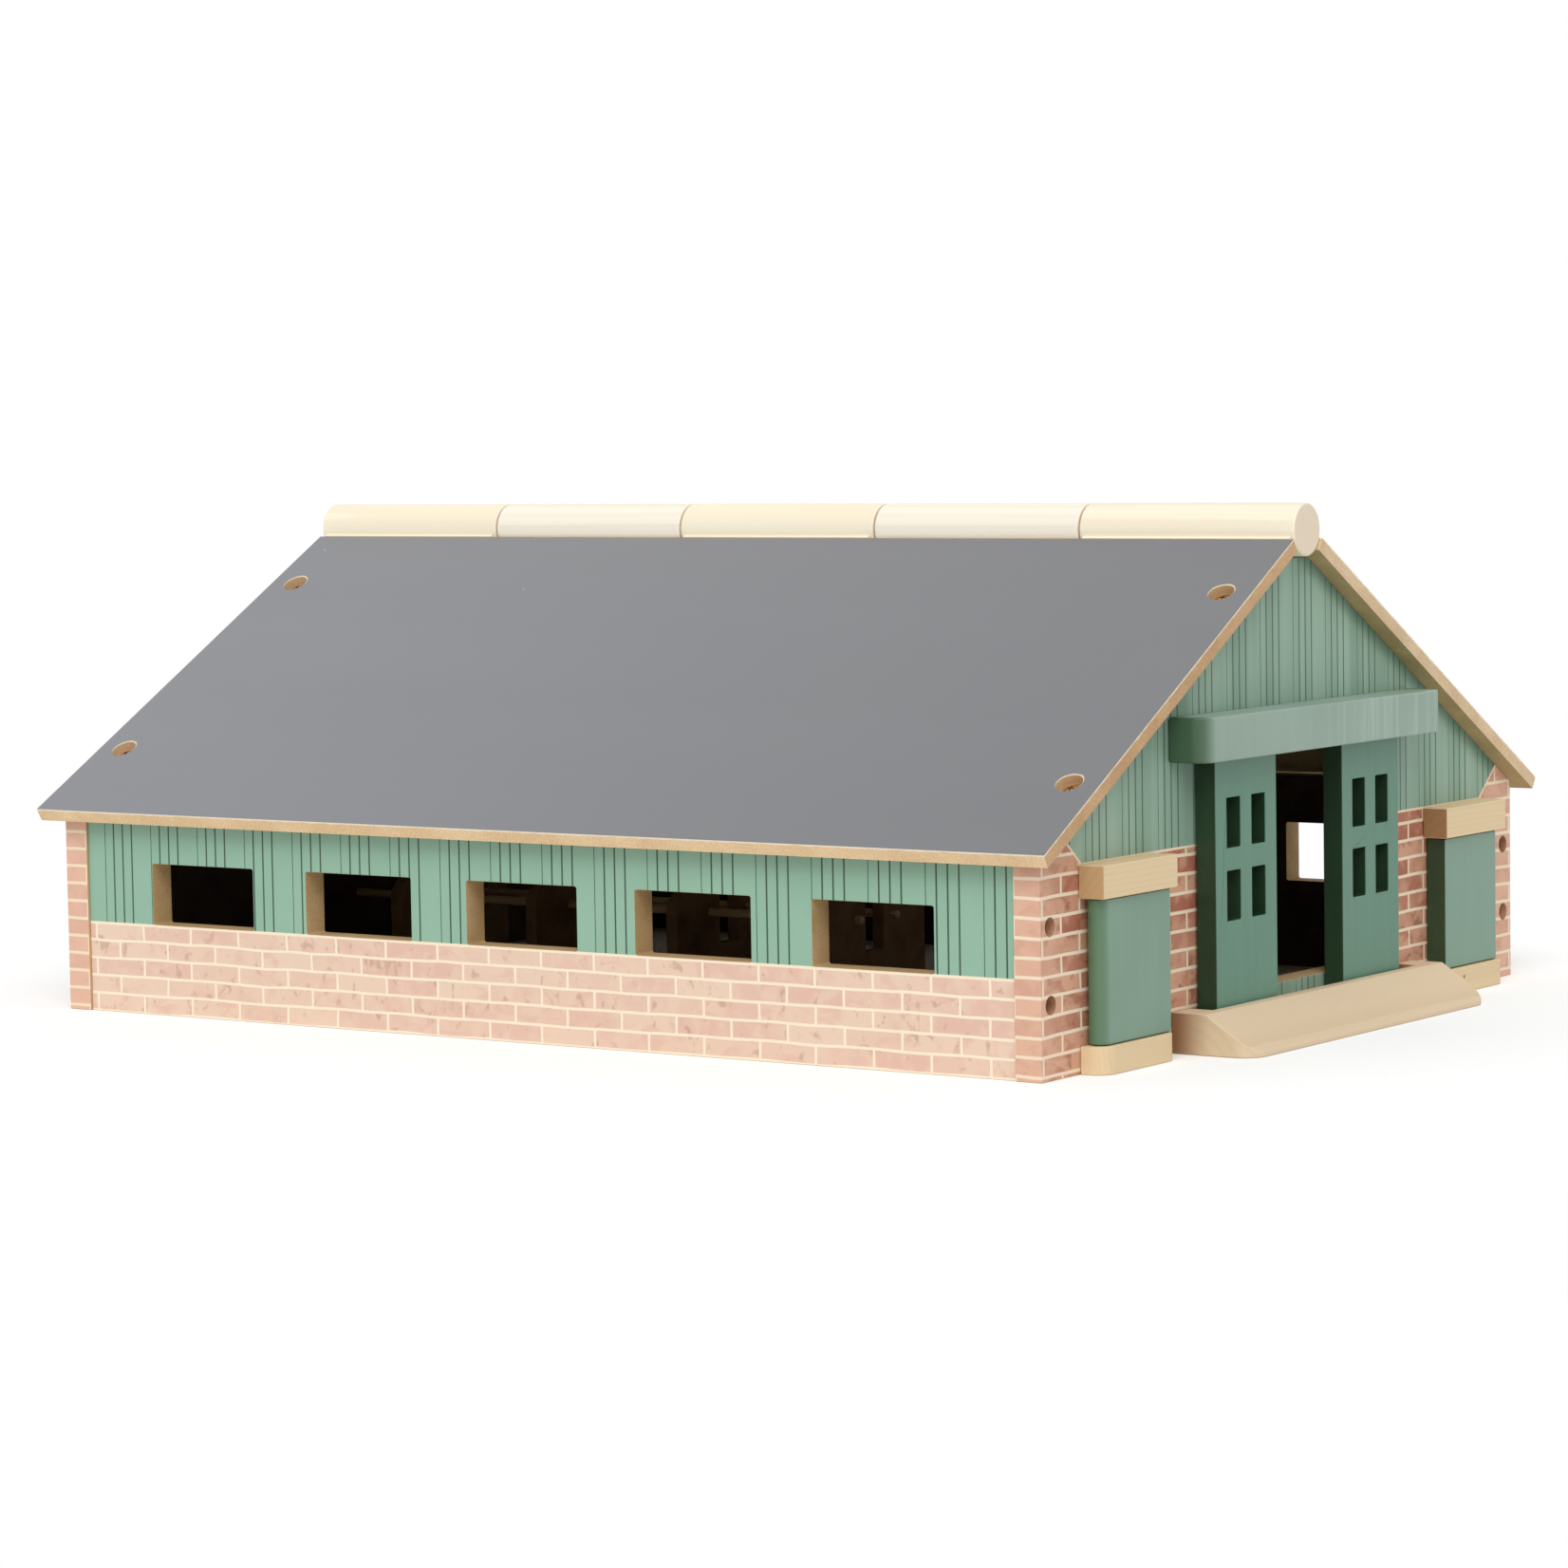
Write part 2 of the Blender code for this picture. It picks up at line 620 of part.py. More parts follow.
def pivot_pins(word, side):
    """The two pins of a side door, and the cutter of their bores."""
    places = [Matrix.Translation((side * PIVOT_X, PIVOT_Y, height))
              for height in (SIDE_SILL_HEIGHT, SIDE_LINTEL_BOTTOM)]
    names = [f"side_door_pin_{word}_{end}" for end in ("lower", "upper")]
    pin = rod_mesh(names[0], PIVOT_PIN_RADIUS, PIVOT_PIN_LENGTH)
    add_copies(names, places, pin, (STEEL, 0.3, 1.0))
    bore = rod_mesh("pivot_bore", PIVOT_PIN_RADIUS + GAP, PIVOT_PIN_LENGTH + 2 * GAP)
    bores = "pivot_bores_" + word
    return add_cutter(bores, copies_mesh(bores, bore, places))


def stall_base():
    mesh = box_mesh("stall_base", (-BASE_WIDTH / 2, BASE_START, 0),
                    (BASE_WIDTH / 2, REAR - GABLE_BOARD - GAP, BASE_HEIGHT))
    return add("stall_base", mesh, (BOARD_BROWN, 0.7), BARN)


def divider_outline():
    """Two wings joined by a bridge, with a slot above and one below that sits on the base."""
    wing = DIVIDER_SLOT / 2
    seat = BASE_WIDTH / 2 + GAP
    bridge_low = BASE_HEIGHT + GAP
    bridge_high = bridge_low + DIVIDER_BRIDGE
    corner = DIVIDER_CORNER
    middle_x = DIVIDER_REACH - corner
    middle_z = DIVIDER_HEIGHT - corner
    return ([(seat, 0), (DIVIDER_REACH, 0)]
            + arc(middle_x, middle_z, corner, 0, 90)
            + [(wing, DIVIDER_HEIGHT), (wing, bridge_high), (-wing, bridge_high),
               (-wing, DIVIDER_HEIGHT)]
            + arc(-middle_x, middle_z, corner, 90, 180)
            + [(-DIVIDER_REACH, 0), (-seat, 0), (-seat, bridge_low), (seat, bridge_low)])


def neck_rails():
    """Two thin rails through the dividers into the rear gable, and the cutter of their holes."""
    front = DIVIDER_FIRST - RAIL_FRONT
    rear = REAR - GABLE_BOARD + RAIL_END_DEPTH
    middle = (front + rear) / 2
    places = []
    for word, side in (("left", -1), ("right", 1)):
        place = (Matrix.Translation((side * RAIL_OFFSET, middle, RAIL_HEIGHT))
                 @ turned_about("X", 90))
        name = "neck_rail_" + word
        rail = add(name, rod_mesh(name, RAIL_RADIUS, rear - front), (BEECH, 0.6), BARN)
        rail.matrix_world = place
        places.append(place)
    bore = rod_mesh("rail_hole", RAIL_RADIUS + GAP, rear - front + 2 * GAP)
    return add_cutter("rail_holes", copies_mesh("rail_holes", bore, places))


def dividers(holes):
    for index in range(DIVIDER_COUNT):
        name = f"stall_divider_{index + 1}"
        made = add(name, plate_mesh(name, [divider_outline()], DIVIDER_BOARD),
                   (BOARD_BROWN, 0.7), BARN)
        made.location = (0, DIVIDER_FIRST + index * DIVIDER_PITCH, 0)
        made.rotation_euler = (math.pi / 2, 0, 0)
        cut(made, holes)


def build_roof(gables):
    """Both roof halves, the ridge hinge and the screws of the fixed half."""
    fixed_axis = ridge_axis("fixed_half", -1)
    hinged_axis = ridge_axis("lid_hinge", 1)
    fixed = roof_panel("roof_panel_fixed", fixed_axis, -1)
    roof_panel("roof_panel_hinged", hinged_axis, 1)
    holes = roof_screws()
    for target in [fixed] + gables:
        cut(target, holes)
    bores = hinge_pins()
    for index in range(KNUCKLE_COUNT):
        on_lid = index % 2 == 1
        cut(knuckle(index, hinged_axis if on_lid else fixed_axis), bores)


def build_walls():
    front = gable("gable_front", FRONT + GABLE_BOARD / 2, front_openings(),
                  (MINT, 0.55))
    rear = gable("gable_rear", REAR - GABLE_BOARD / 2, [], (MINT, 0.55))
    walls = [side_wall("side_wall_left", -1), side_wall("side_wall_right", 1)]
    for name, end, face, side in (("wall_screw_front", front, FRONT, -1),
                                  ("wall_screw_rear", rear, REAR, 1)):
        holes = wall_screws(name, face, side)
        for target in [end] + walls:
            cut(target, holes)
    return front, rear


def build_main_door(front):
    top_piece = lintel()
    low_piece = ramp()
    sliding_door("sliding_door_left", -1, LEFT_SLIDER_STOP)
    sliding_door("sliding_door_right", 1, RIGHT_SLIDER_STOP)
    rise = LINTEL_BOTTOM + (LINTEL_HEIGHT + TRACK_DEPTH) / 2
    offset = LINTEL_LENGTH / 2 - LINTEL_SCREW_INSET
    for name, piece, height, bite in (
            ("lintel_screw", top_piece, rise, LINTEL_BITE_SHARE * LINTEL_DEPTH),
            ("ramp_screw", low_piece, RAMP_SCREW_HEIGHT, RAMP_BITE_SHARE * RAMP_DEPTH)):
        holes = inner_screws(name, offset, height, bite)
        cut(front, holes)
        cut(piece, holes)


def build_side_doors(front):
    uppers, lowers = [], []
    for word, side in (("left", -1), ("right", 1)):
        upper, lower = side_blocks(word, side)
        door = side_door(word, side)
        bores = pivot_pins(word, side)
        for target in (upper, lower, door):
            cut(target, bores)
        uppers.append(upper)
        lowers.append(lower)
    upper_height = SIDE_LINTEL_BOTTOM + SIDE_LINTEL_HEIGHT / 2
    for name, pieces, height in (("side_lintel_screw", uppers, upper_height),
                                 ("side_sill_screw", lowers, SIDE_SILL_HEIGHT / 2)):
        holes = inner_screws(name, BLOCK_CENTRE, height, BLOCK_BITE_SHARE * BLOCK_DEPTH)
        for target in [front] + pieces:
            cut(target, holes)


def build_stalls(rear):
    base = stall_base()
    holes = neck_rails()
    dividers(holes)
    cut(rear, holes)
    place = facing((0, 1, 0), 0, REAR, BASE_HEIGHT / 2)
    screw_holes = screw_set(["stall_base_screw"], [place], WALL_HEAD_RADIUS,
                            WALL_HEAD_HEIGHT, BASE_SCREW_LENGTH, WALL_SINK_RADIUS,
                            WALL_SINK_DEPTH)
    cut(rear, screw_holes)
    cut(base, screw_holes)


def main():
    front, rear = build_walls()
    build_roof([front, rear])
    build_main_door(front)
    build_side_doors(front)
    build_stalls(rear)
    bpy.context.view_layer.update()


clear_scene()
BARN = new_collection("toy_barn")
CUTTERS = new_collection("cutters")
main()
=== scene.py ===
# %% [markdown]
# # A toy cow barn of screwed boards
# The barn is a box of 12 mm fibreboard walls under two thin roof boards. Brick and plank
# patterns are printed on the outer faces, the sawn edges are left raw, and the doors, the ramp
# and the ridge are solid wood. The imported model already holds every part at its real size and
# place, so this lesson dresses it: each board is cut again with eased edges and drilled holes,
# gets a material made of nodes, and then rides on the body that it belongs to.

import json
import math

import bmesh
import bpy
from mathutils import Matrix, Vector

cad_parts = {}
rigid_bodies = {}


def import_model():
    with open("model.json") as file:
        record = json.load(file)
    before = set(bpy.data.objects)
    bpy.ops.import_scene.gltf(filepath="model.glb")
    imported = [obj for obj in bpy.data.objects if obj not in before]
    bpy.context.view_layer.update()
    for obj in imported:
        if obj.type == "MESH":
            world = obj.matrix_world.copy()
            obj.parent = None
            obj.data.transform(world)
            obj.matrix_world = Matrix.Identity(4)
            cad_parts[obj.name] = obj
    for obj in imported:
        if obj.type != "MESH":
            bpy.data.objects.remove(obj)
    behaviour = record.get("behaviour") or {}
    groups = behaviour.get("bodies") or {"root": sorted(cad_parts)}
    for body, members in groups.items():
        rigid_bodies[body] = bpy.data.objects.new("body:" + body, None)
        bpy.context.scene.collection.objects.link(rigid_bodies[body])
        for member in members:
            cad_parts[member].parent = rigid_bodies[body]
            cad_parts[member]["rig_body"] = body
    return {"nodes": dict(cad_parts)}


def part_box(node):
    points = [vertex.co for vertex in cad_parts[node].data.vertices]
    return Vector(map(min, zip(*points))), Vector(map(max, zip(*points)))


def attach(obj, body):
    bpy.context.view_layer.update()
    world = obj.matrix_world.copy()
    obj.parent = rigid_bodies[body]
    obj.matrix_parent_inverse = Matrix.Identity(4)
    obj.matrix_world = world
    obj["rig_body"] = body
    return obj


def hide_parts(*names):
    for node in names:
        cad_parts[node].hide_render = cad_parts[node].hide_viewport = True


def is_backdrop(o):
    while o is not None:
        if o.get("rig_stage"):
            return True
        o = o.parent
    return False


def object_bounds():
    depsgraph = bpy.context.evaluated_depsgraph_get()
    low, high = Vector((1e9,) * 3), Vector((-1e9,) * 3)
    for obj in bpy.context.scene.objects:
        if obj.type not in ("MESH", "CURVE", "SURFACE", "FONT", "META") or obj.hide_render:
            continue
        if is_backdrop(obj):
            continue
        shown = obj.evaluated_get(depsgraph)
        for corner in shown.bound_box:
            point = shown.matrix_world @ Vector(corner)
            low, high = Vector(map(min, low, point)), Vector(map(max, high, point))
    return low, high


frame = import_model()
CAD_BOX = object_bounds()
scene = bpy.context.scene
for thing in list(scene.objects):
    if thing.type in {"MESH", "LIGHT", "CAMERA"} and "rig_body" not in thing:
        bpy.data.objects.remove(thing, do_unlink=True)
print("nodes:", len(frame["nodes"]))

# %% [markdown]
# ## The camera
# The picture is taken from far away with a long lens, from the left front corner and a little
# above the eaves. A camera could be turned by eye until it fits, but its place and its three
# angles were worked out from the corners of the barn, so they are simply written down here. A
# camera looks along its own -Z with +Y up, so the matrix takes the right, the up and the
# backward direction as its columns.

# %% Camera
PICTURE_SIDE = 1652
FOCAL_LENGTH_IN_PIXELS = 5181
CAMERA_PLACE = Vector((-1.7717, -1.2320, 0.2601))
CAMERA_YAW = -0.96123
CAMERA_PITCH = 0.07777
CAMERA_ROLL = -0.01642

upright = Matrix(((1, 0, 0), (0, 0, -1), (0, 1, 0)))
turn = upright @ Matrix.Rotation(CAMERA_YAW, 3, "Z").transposed()
turn = Matrix.Rotation(CAMERA_ROLL, 3, "Z") @ Matrix.Rotation(CAMERA_PITCH, 3, "X") @ turn
right, down, forward = turn[0], turn[1], turn[2]
camera_data = bpy.data.cameras.new("camera")
camera_data.sensor_width = 36
camera_data.lens = 36 * FOCAL_LENGTH_IN_PIXELS / PICTURE_SIDE
camera_data.clip_start = 0.05
camera_data.clip_end = 50
camera = bpy.data.objects.new("camera", camera_data)
scene.collection.objects.link(camera)
columns = Matrix((right, -down, -forward)).transposed().to_4x4()
camera.matrix_world = Matrix.Translation(CAMERA_PLACE) @ columns
scene.camera = camera
scene.view_settings.view_transform = "Standard"
print("lens:", round(camera_data.lens, 1), "mm")

# %% [markdown]
# ## Building node trees in a script
# A node tree is made by adding nodes and joining sockets. Writing each link by hand gets long,
# so one helper adds a node, fills its inputs with numbers, colours or other sockets, and gives
# it back. Materials and Geometry Nodes both use it.

# %% A helper that adds a node
def add_node(tree, kind, inputs=None, **settings):
    """Add a node, set its options, and fill its inputs with values or with other sockets."""
    node = tree.nodes.new(kind)
    for option, value in settings.items():
        setattr(node, option, value)
    for key, value in (inputs or {}).items():
        if isinstance(value, bpy.types.NodeSocket):
            tree.links.new(value, node.inputs[key])
        else:
            node.inputs[key].default_value = value
    return node


def colour(red, green, blue):
    """A colour as a paint chart gives it, from 0 to 255, as the linear values Blender wants."""
    linear = []
    for value in (red, green, blue):
        share = value / 255
        linear.append(share / 12.92 if share <= 0.04045 else ((share + 0.055) / 1.055) ** 2.4)
    return (*linear, 1.0)


def maths(tree, operation, first, second=0.0, third=0.0):
    """A sum on numbers or sockets; the result is a socket."""
    inputs = {0: first, 1: second, 2: third}
    return add_node(tree, "ShaderNodeMath", inputs, operation=operation).outputs[0]


def vector_maths(tree, operation, vector, result=0):
    return add_node(tree, "ShaderNodeVectorMath", {0: vector},
                    operation=operation).outputs[result]


print("mid grey is", [round(value, 3) for value in colour(128, 128, 128)[:3]])

# %% [markdown]
# ## Studio light
# A product picture is lit from all round by soft boxes, so the shadows are weak. An even pale
# world gives that fill, and one broad sun from the upper left makes the three sides differ. The
# white background must not light the object more, so the world is white only for what the
# camera, gloss and glass see, through the Light Path node.

# %% World and sun
FILL_STRENGTH = 0.60
SUN_STRENGTH = 1.41
SUN_WIDTH = 0.7
TOWARDS_SUN = Vector((-0.60, -0.35, 0.72))


def seen_directly(tree):
    """One for rays from the camera, from gloss and through glass, nought for the rest."""
    path = add_node(tree, "ShaderNodeLightPath")
    either = maths(tree, "MAXIMUM", path.outputs["Is Camera Ray"], path.outputs["Is Glossy Ray"])
    return maths(tree, "MAXIMUM", either, path.outputs["Is Transmission Ray"])


world = bpy.data.worlds.new("studio")
world.use_nodes = True
scene.world = world
sky = world.node_tree
sky.nodes.clear()
strength = add_node(sky, "ShaderNodeMapRange", {0: seen_directly(sky), 3: FILL_STRENGTH, 4: 1.0})
glow = add_node(sky, "ShaderNodeBackground", {"Color": (1, 1, 1, 1),
                                              "Strength": strength.outputs[0]})
add_node(sky, "ShaderNodeOutputWorld", {"Surface": glow.outputs[0]})

sun_data = bpy.data.lights.new("soft_sun", "SUN")
sun_data.energy = SUN_STRENGTH
sun_data.angle = SUN_WIDTH
sun = bpy.data.objects.new("soft_sun", sun_data)
scene.collection.objects.link(sun)
sun.matrix_world = TOWARDS_SUN.to_track_quat("Z", "Y").to_matrix().to_4x4()
print("sun comes from", tuple(round(value, 2) for value in TOWARDS_SUN))

# %% [markdown]
# ## The floor
# A real studio rolls white paper out under the object. A plane would do, but its far edge would
# show as a grey line. This floor is a large disc of matt white that keeps the shadow near the
# barn and turns into pure white light further out, for the camera alone. A little light is added
# to the paper as well, but not inside the walls, where it has to stay dark.

# %% Floor
FLOOR_RADIUS = 6.0
FLOOR_FADE = (0.42, 0.80)
FLOOR_LIFT = 0.22
FLOOR_COVERED = (0.19, 0.245)
FLOOR_GAP = 0.0001

disc = bmesh.new()
bmesh.ops.create_circle(disc, cap_ends=True, segments=96, radius=FLOOR_RADIUS)
floor_mesh = bpy.data.meshes.new("studio_floor")
disc.to_mesh(floor_mesh)
disc.free()
floor_mesh.transform(Matrix.Translation((0, 0, -FLOOR_GAP)))
floor = bpy.data.objects.new("studio_floor", floor_mesh)
scene.collection.objects.link(floor)

paper = bpy.data.materials.new("white_paper")
paper.use_nodes = True
tree = paper.node_tree
tree.nodes.clear()
spot = add_node(tree, "ShaderNodeTexCoord").outputs["Object"]
reach = vector_maths(tree, "LENGTH", spot, "Value")
far = add_node(tree, "ShaderNodeMapRange", {0: reach, 1: FLOOR_FADE[0], 2: FLOOR_FADE[1]},
               interpolation_type="SMOOTHSTEP").outputs[0]
seen = seen_directly(tree)
sides = add_node(tree, "ShaderNodeSeparateXYZ", {0: vector_maths(tree, "ABSOLUTE", spot)})
beside = maths(tree, "GREATER_THAN", sides.outputs[0], FLOOR_COVERED[0])
before = maths(tree, "GREATER_THAN", sides.outputs[1], FLOOR_COVERED[1])
outside = maths(tree, "MULTIPLY", maths(tree, "MAXIMUM", beside, before), seen)
lift = maths(tree, "MULTIPLY", outside, FLOOR_LIFT)
matt = add_node(tree, "ShaderNodeBsdfDiffuse", {"Color": (0.9, 0.9, 0.9, 1)}).outputs[0]
gleam = add_node(tree, "ShaderNodeEmission", {"Strength": lift}).outputs[0]
near = add_node(tree, "ShaderNodeAddShader", {0: matt, 1: gleam}).outputs[0]
white = add_node(tree, "ShaderNodeEmission", {"Strength": 1.0}).outputs[0]
share = maths(tree, "MULTIPLY", far, seen)
paper_mix = add_node(tree, "ShaderNodeMixShader", {0: share, 1: near, 2: white}).outputs[0]
add_node(tree, "ShaderNodeOutputMaterial", {"Surface": paper_mix})
floor_mesh.materials.append(paper)
floor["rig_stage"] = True
print("floor disc:", FLOOR_RADIUS * 2, "m across")

# %% [markdown]
# ## A small workshop for finishes
# Every finish here starts in the same way: it reads the place on the object in metres, makes
# patterns from it, and ends in one Principled shader. A class holds the unfinished material, so
# that each finish can be written as a few lines that say what is mixed with what. Object
# coordinates keep the patterns at their real size, on every board alike.

# %% The Finish class
class Finish:
    """A material in the making, with short words for the nodes that all finishes use."""

    def __init__(self, name):
        self.material = bpy.data.materials.new(name)
        self.material.use_nodes = True
        self.tree = self.material.node_tree
        self.tree.nodes.clear()
        self.place = self.add("ShaderNodeTexCoord").outputs["Object"]
        parts = self.add("ShaderNodeSeparateXYZ", {0: self.place})
        self.x, self.y, self.z = parts.outputs[0], parts.outputs[1], parts.outputs[2]

    def add(self, kind, inputs=None, **settings):
        return add_node(self.tree, kind, inputs, **settings)

    def math(self, operation, first, second=0.0, third=0.0):
        return maths(self.tree, operation, first, second, third)

    def plus(self, first, second):
        return self.math("ADD", first, second)

    def minus(self, first, second):
        return self.math("SUBTRACT", first, second)

    def times(self, first, second):
        return self.math("MULTIPLY", first, second)

    def beyond(self, value, limit):
        """One where the value is over the limit, and nought elsewhere."""
        return self.math("GREATER_THAN", value, limit)

    def point(self, x, y):
        return self.add("ShaderNodeCombineXYZ", {0: x, 1: y}).outputs[0]

    def distance(self, x, y):
        """How far a point of a plane lies from its origin."""
        return vector_maths(self.tree, "LENGTH", self.point(x, y), "Value")

    def stretched(self, scale):
        """The place, squeezed or stretched along each axis."""
        return self.add("ShaderNodeMapping", {0: self.place, 3: scale}).outputs[0]

    def noise(self, scale, detail=2.0, place=None, roughness=0.5, distortion=0.0):
        """Soft random cloud from 0 to 1; the scale is clouds per metre."""
        inputs = {"Vector": self.place if place is None else place, "Scale": scale,
                  "Detail": detail, "Roughness": roughness, "Distortion": distortion}
        return self.add("ShaderNodeTexNoise", inputs).outputs["Fac"]

    def between(self, value, low, high, low_result=0.0, high_result=1.0):
        """A value from low to high, turned smoothly into 0 to 1 or other results."""
        inputs = {0: value, 1: low, 2: high, 3: low_result, 4: high_result}
        node = self.add("ShaderNodeMapRange", inputs, interpolation_type="SMOOTHSTEP")
        return node.outputs[0]

    def mix(self, share, first, second, blend_type="MIX"):
        """Two colours mixed; each is a socket, or three numbers from 0 to 255."""
        chosen = [colour(*value) if isinstance(value, tuple) else value for value in (first, second)]
        inputs = {0: share, 6: chosen[0], 7: chosen[1]}
        node = self.add("ShaderNodeMix", inputs, data_type="RGBA", blend_type=blend_type)
        return node.outputs[2]

    def shaded(self, base, brightness):
        """A colour times a brightness."""
        inputs = {0: brightness, 1: brightness, 2: brightness}
        return self.mix(1.0, base, self.add("ShaderNodeCombineColor", inputs).outputs[0],
                        "MULTIPLY")

    def finish(self, base, roughness, height, depth, metallic=0.0):
        """Join colour, roughness, bump and a constant share of metal to the shader."""
        bump = self.add("ShaderNodeBump", {"Height": height, "Distance": depth, "Strength": 1.0})
        shader = self.add("ShaderNodeBsdfPrincipled",
                          {"Base Color": base, "Roughness": roughness, "Metallic": metallic,
                           "Normal": bump.outputs[0]})
        self.add("ShaderNodeOutputMaterial", {"Surface": shader.outputs[0]})
        print("finish:", self.material.name, "with", len(self.tree.nodes), "nodes")
        return self.material


print("the Finish class is ready")

# %% [markdown]
# ## Raw fibreboard
# Sawn fibreboard has no grain. It is pressed from fine brown fibres, so its edge is an even tan
# with a fine speckle, a little darker in the middle of the board. Two clouds of different size
# give that: a coarse one for the tone and a fine one for the fibres, which also makes the bump.
# The edges of the roof boards get a pale line of painted highlight along the top, so the recipe
# can also tell how far a spot lies above or below the middle of its roof board. The eave edges
# get a lighter copy of the raw board as painted light.

# %% Raw board
ROOF_PITCH = math.radians(30)
RIDGE_AXIS = Vector((0, 0, 0.204144))
CORNER_START = 0.1962
TOP_EDGE_HIGHLIGHT = (0.0026, 0.0033)


def on_roof(made):
    """How far a spot lies down the slope from the ridge line, and out from the board's middle."""
    out = made.math("ABSOLUTE", made.x)
    drop = made.minus(RIDGE_AXIS.z, made.z)
    flat, steep = math.cos(ROOF_PITCH), math.sin(ROOF_PITCH)
    along = made.plus(made.times(out, flat), made.times(drop, steep))
    above = made.minus(made.times(out, steep), made.times(drop, flat))
    return along, above


def raw_board(name, light, dark, rim=None, corner=None):
    """Raw fibreboard; the rim colour is a painted highlight along the top of a roof board's edge.

    The corner colour is for the strip of a gable that stands out beside the long wall.
    """
    made = Finish(name)
    tone = made.noise(55, 2)
    fibres = made.noise(1400, 3, roughness=0.7)
    body = made.mix(made.between(tone, 0.3, 0.7), dark, light)
    base = made.shaded(body, made.between(fibres, 0.35, 0.75, 0.82, 1.08))
    if rim:
        above = on_roof(made)[1]
        # painted highlight: a pale line along the top of the board's edge
        highlight_line_place = made.math("MULTIPLY_ADD", made.noise(260, 2), 0.0012, above)
        base = made.mix(made.between(highlight_line_place, *TOP_EDGE_HIGHLIGHT), base, rim)
    if corner:
        out = made.math("ABSOLUTE", made.x)
        base = made.mix(made.beyond(out, CORNER_START), base, corner)
    return made.finish(base, 0.85, fibres, 0.00006)


RAW_EDGE = raw_board("raw_board_edge", (214, 176, 133), (201, 161, 118), (240, 222, 196))
# painted light: the eave edges get a lighter copy of the raw board
RAW_EAVE_PAINTED_LIGHT = raw_board("raw_board_eave_painted_light", (252, 221, 176), (242, 207, 160), (252, 238, 216))
RAW_SINK = raw_board("raw_board_sink", (236, 212, 176), (214, 184, 144))
RAW_JAMB = raw_board("raw_board_jamb", (214, 182, 134), (198, 166, 116))
UNDERSIDE = raw_board("raw_board_underside", (200, 174, 126), (184, 158, 110))
RAW_LID = raw_board("raw_lid_edge", (234, 207, 168), (222, 193, 153), (246, 232, 208))
DRILLED = raw_board("drilled_board", (212, 166, 134), (178, 130, 100))
ROOF_DRILLED = raw_board("drilled_roof_board", (206, 158, 112), (176, 124, 80))
# painted shade: the inner faces are dark because the closed barn is dark inside
INSIDE_PAINTED_SHADE = raw_board("inside_painted_shade", (66, 48, 34), (50, 36, 25), corner=(206, 170, 130))

# %% [markdown]
# ## Printed bricks
# The bricks are a print, so they are flat: only the ink changes. Each brick could be modelled,
# but that would be a different toy. The Brick Texture gives the bond and a tone for each brick,
# a slow cloud bends its lines as a hand-drawn pattern is bent, and a second set of clouds makes
# the blotches and the dark flecks of the ink.

# %% Bricks in ink
BRICK_LENGTH = 0.0271
PRINT_BLUR = 0.0001
FILM_BUMP = 0.00002


def brick_ink(made, along, up, course, joint, light, dark, mortar, fleck):
    """Colours of a running bond and where its joints are; along and up are metres on the face."""
    bend = made.noise(34, 1)
    sway = made.math("MULTIPLY_ADD", bend, 0.0016, -0.0008)
    place = made.point(made.plus(along, sway), made.plus(up, sway))
    bricks = made.add("ShaderNodeTexBrick", {"Vector": place, "Color1": colour(*light),
                                             "Color2": colour(*dark),
                                             "Mortar": colour(*mortar), "Scale": 1.0,
                                             "Mortar Size": joint / 2, "Mortar Smooth": 0.6,
                                             "Bias": 0.0, "Brick Width": BRICK_LENGTH,
                                             "Row Height": course})
    clouds = made.noise(120, 3, place)
    tint = made.mix(made.between(clouds, 0.42, 0.66, 0.0, 0.6), bricks.outputs["Color"], light)
    pools = made.noise(85, 2, made.stretched((1.0, 1.0, 1.8)), distortion=0.6)
    washed = made.mix(made.between(pools, 0.50, 0.70, 0.0, 0.7), tint, dark)
    spots = made.noise(190, 3, made.stretched((1.0, 1.0, 0.8)), distortion=0.5)
    flecked = made.mix(made.between(spots, 0.58, 0.72, 0.0, 0.6), washed, fleck)
    joints = made.between(bricks.outputs["Fac"], 0.1, 0.95)
    rim = made.times(made.between(bricks.outputs["Fac"], 0.02, 0.12, 0.0, 0.3),
                     made.between(joints, 0.0, 0.5, 1.0, 0.0))
    outlined = made.mix(rim, flecked, fleck)
    return made.mix(joints, outlined, mortar), joints


print("bricks are", round(1000 * BRICK_LENGTH, 1), "mm long")

# %% [markdown]
# ## Printed planks
# Above the bricks the print shows boarding as groups of four thin dark lines. A wave texture
# could draw lines, but not in groups. So the place along the wall is folded with a modulo to
# one group, folded again to one line, and the distance to that line is turned into ink.

# %% Plank lines in ink
LINES_IN_GROUP = 4
LINE_PITCH = 0.0052
LINE_SOFTNESS = 0.00012


def plank_lines(made, along, period, width):
    """Ink of groups of thin upright lines: 1 on a line and 0 beside it."""
    in_group = made.math("FLOORED_MODULO", along, period)
    shifted = made.plus(in_group, LINE_PITCH / 2)
    in_pitch = made.math("FLOORED_MODULO", shifted, LINE_PITCH)
    distance = made.math("ABSOLUTE", made.minus(in_pitch, LINE_PITCH / 2))
    line = made.between(distance, width / 2 - LINE_SOFTNESS, width / 2 + LINE_SOFTNESS, 1.0, 0.0)
    in_row = made.math("LESS_THAN", in_group, (LINES_IN_GROUP - 0.5) * LINE_PITCH)
    return made.times(line, in_row)


print("plank lines stand in groups of", LINES_IN_GROUP)

# %% [markdown]
# ## The print of the long walls
# Five courses of pale bricks end in a cream line, and mint green boarding goes on up to the
# roof. The pattern is laid out from the rear end of the wall, so the distance from that end is
# the first value that the material works out.

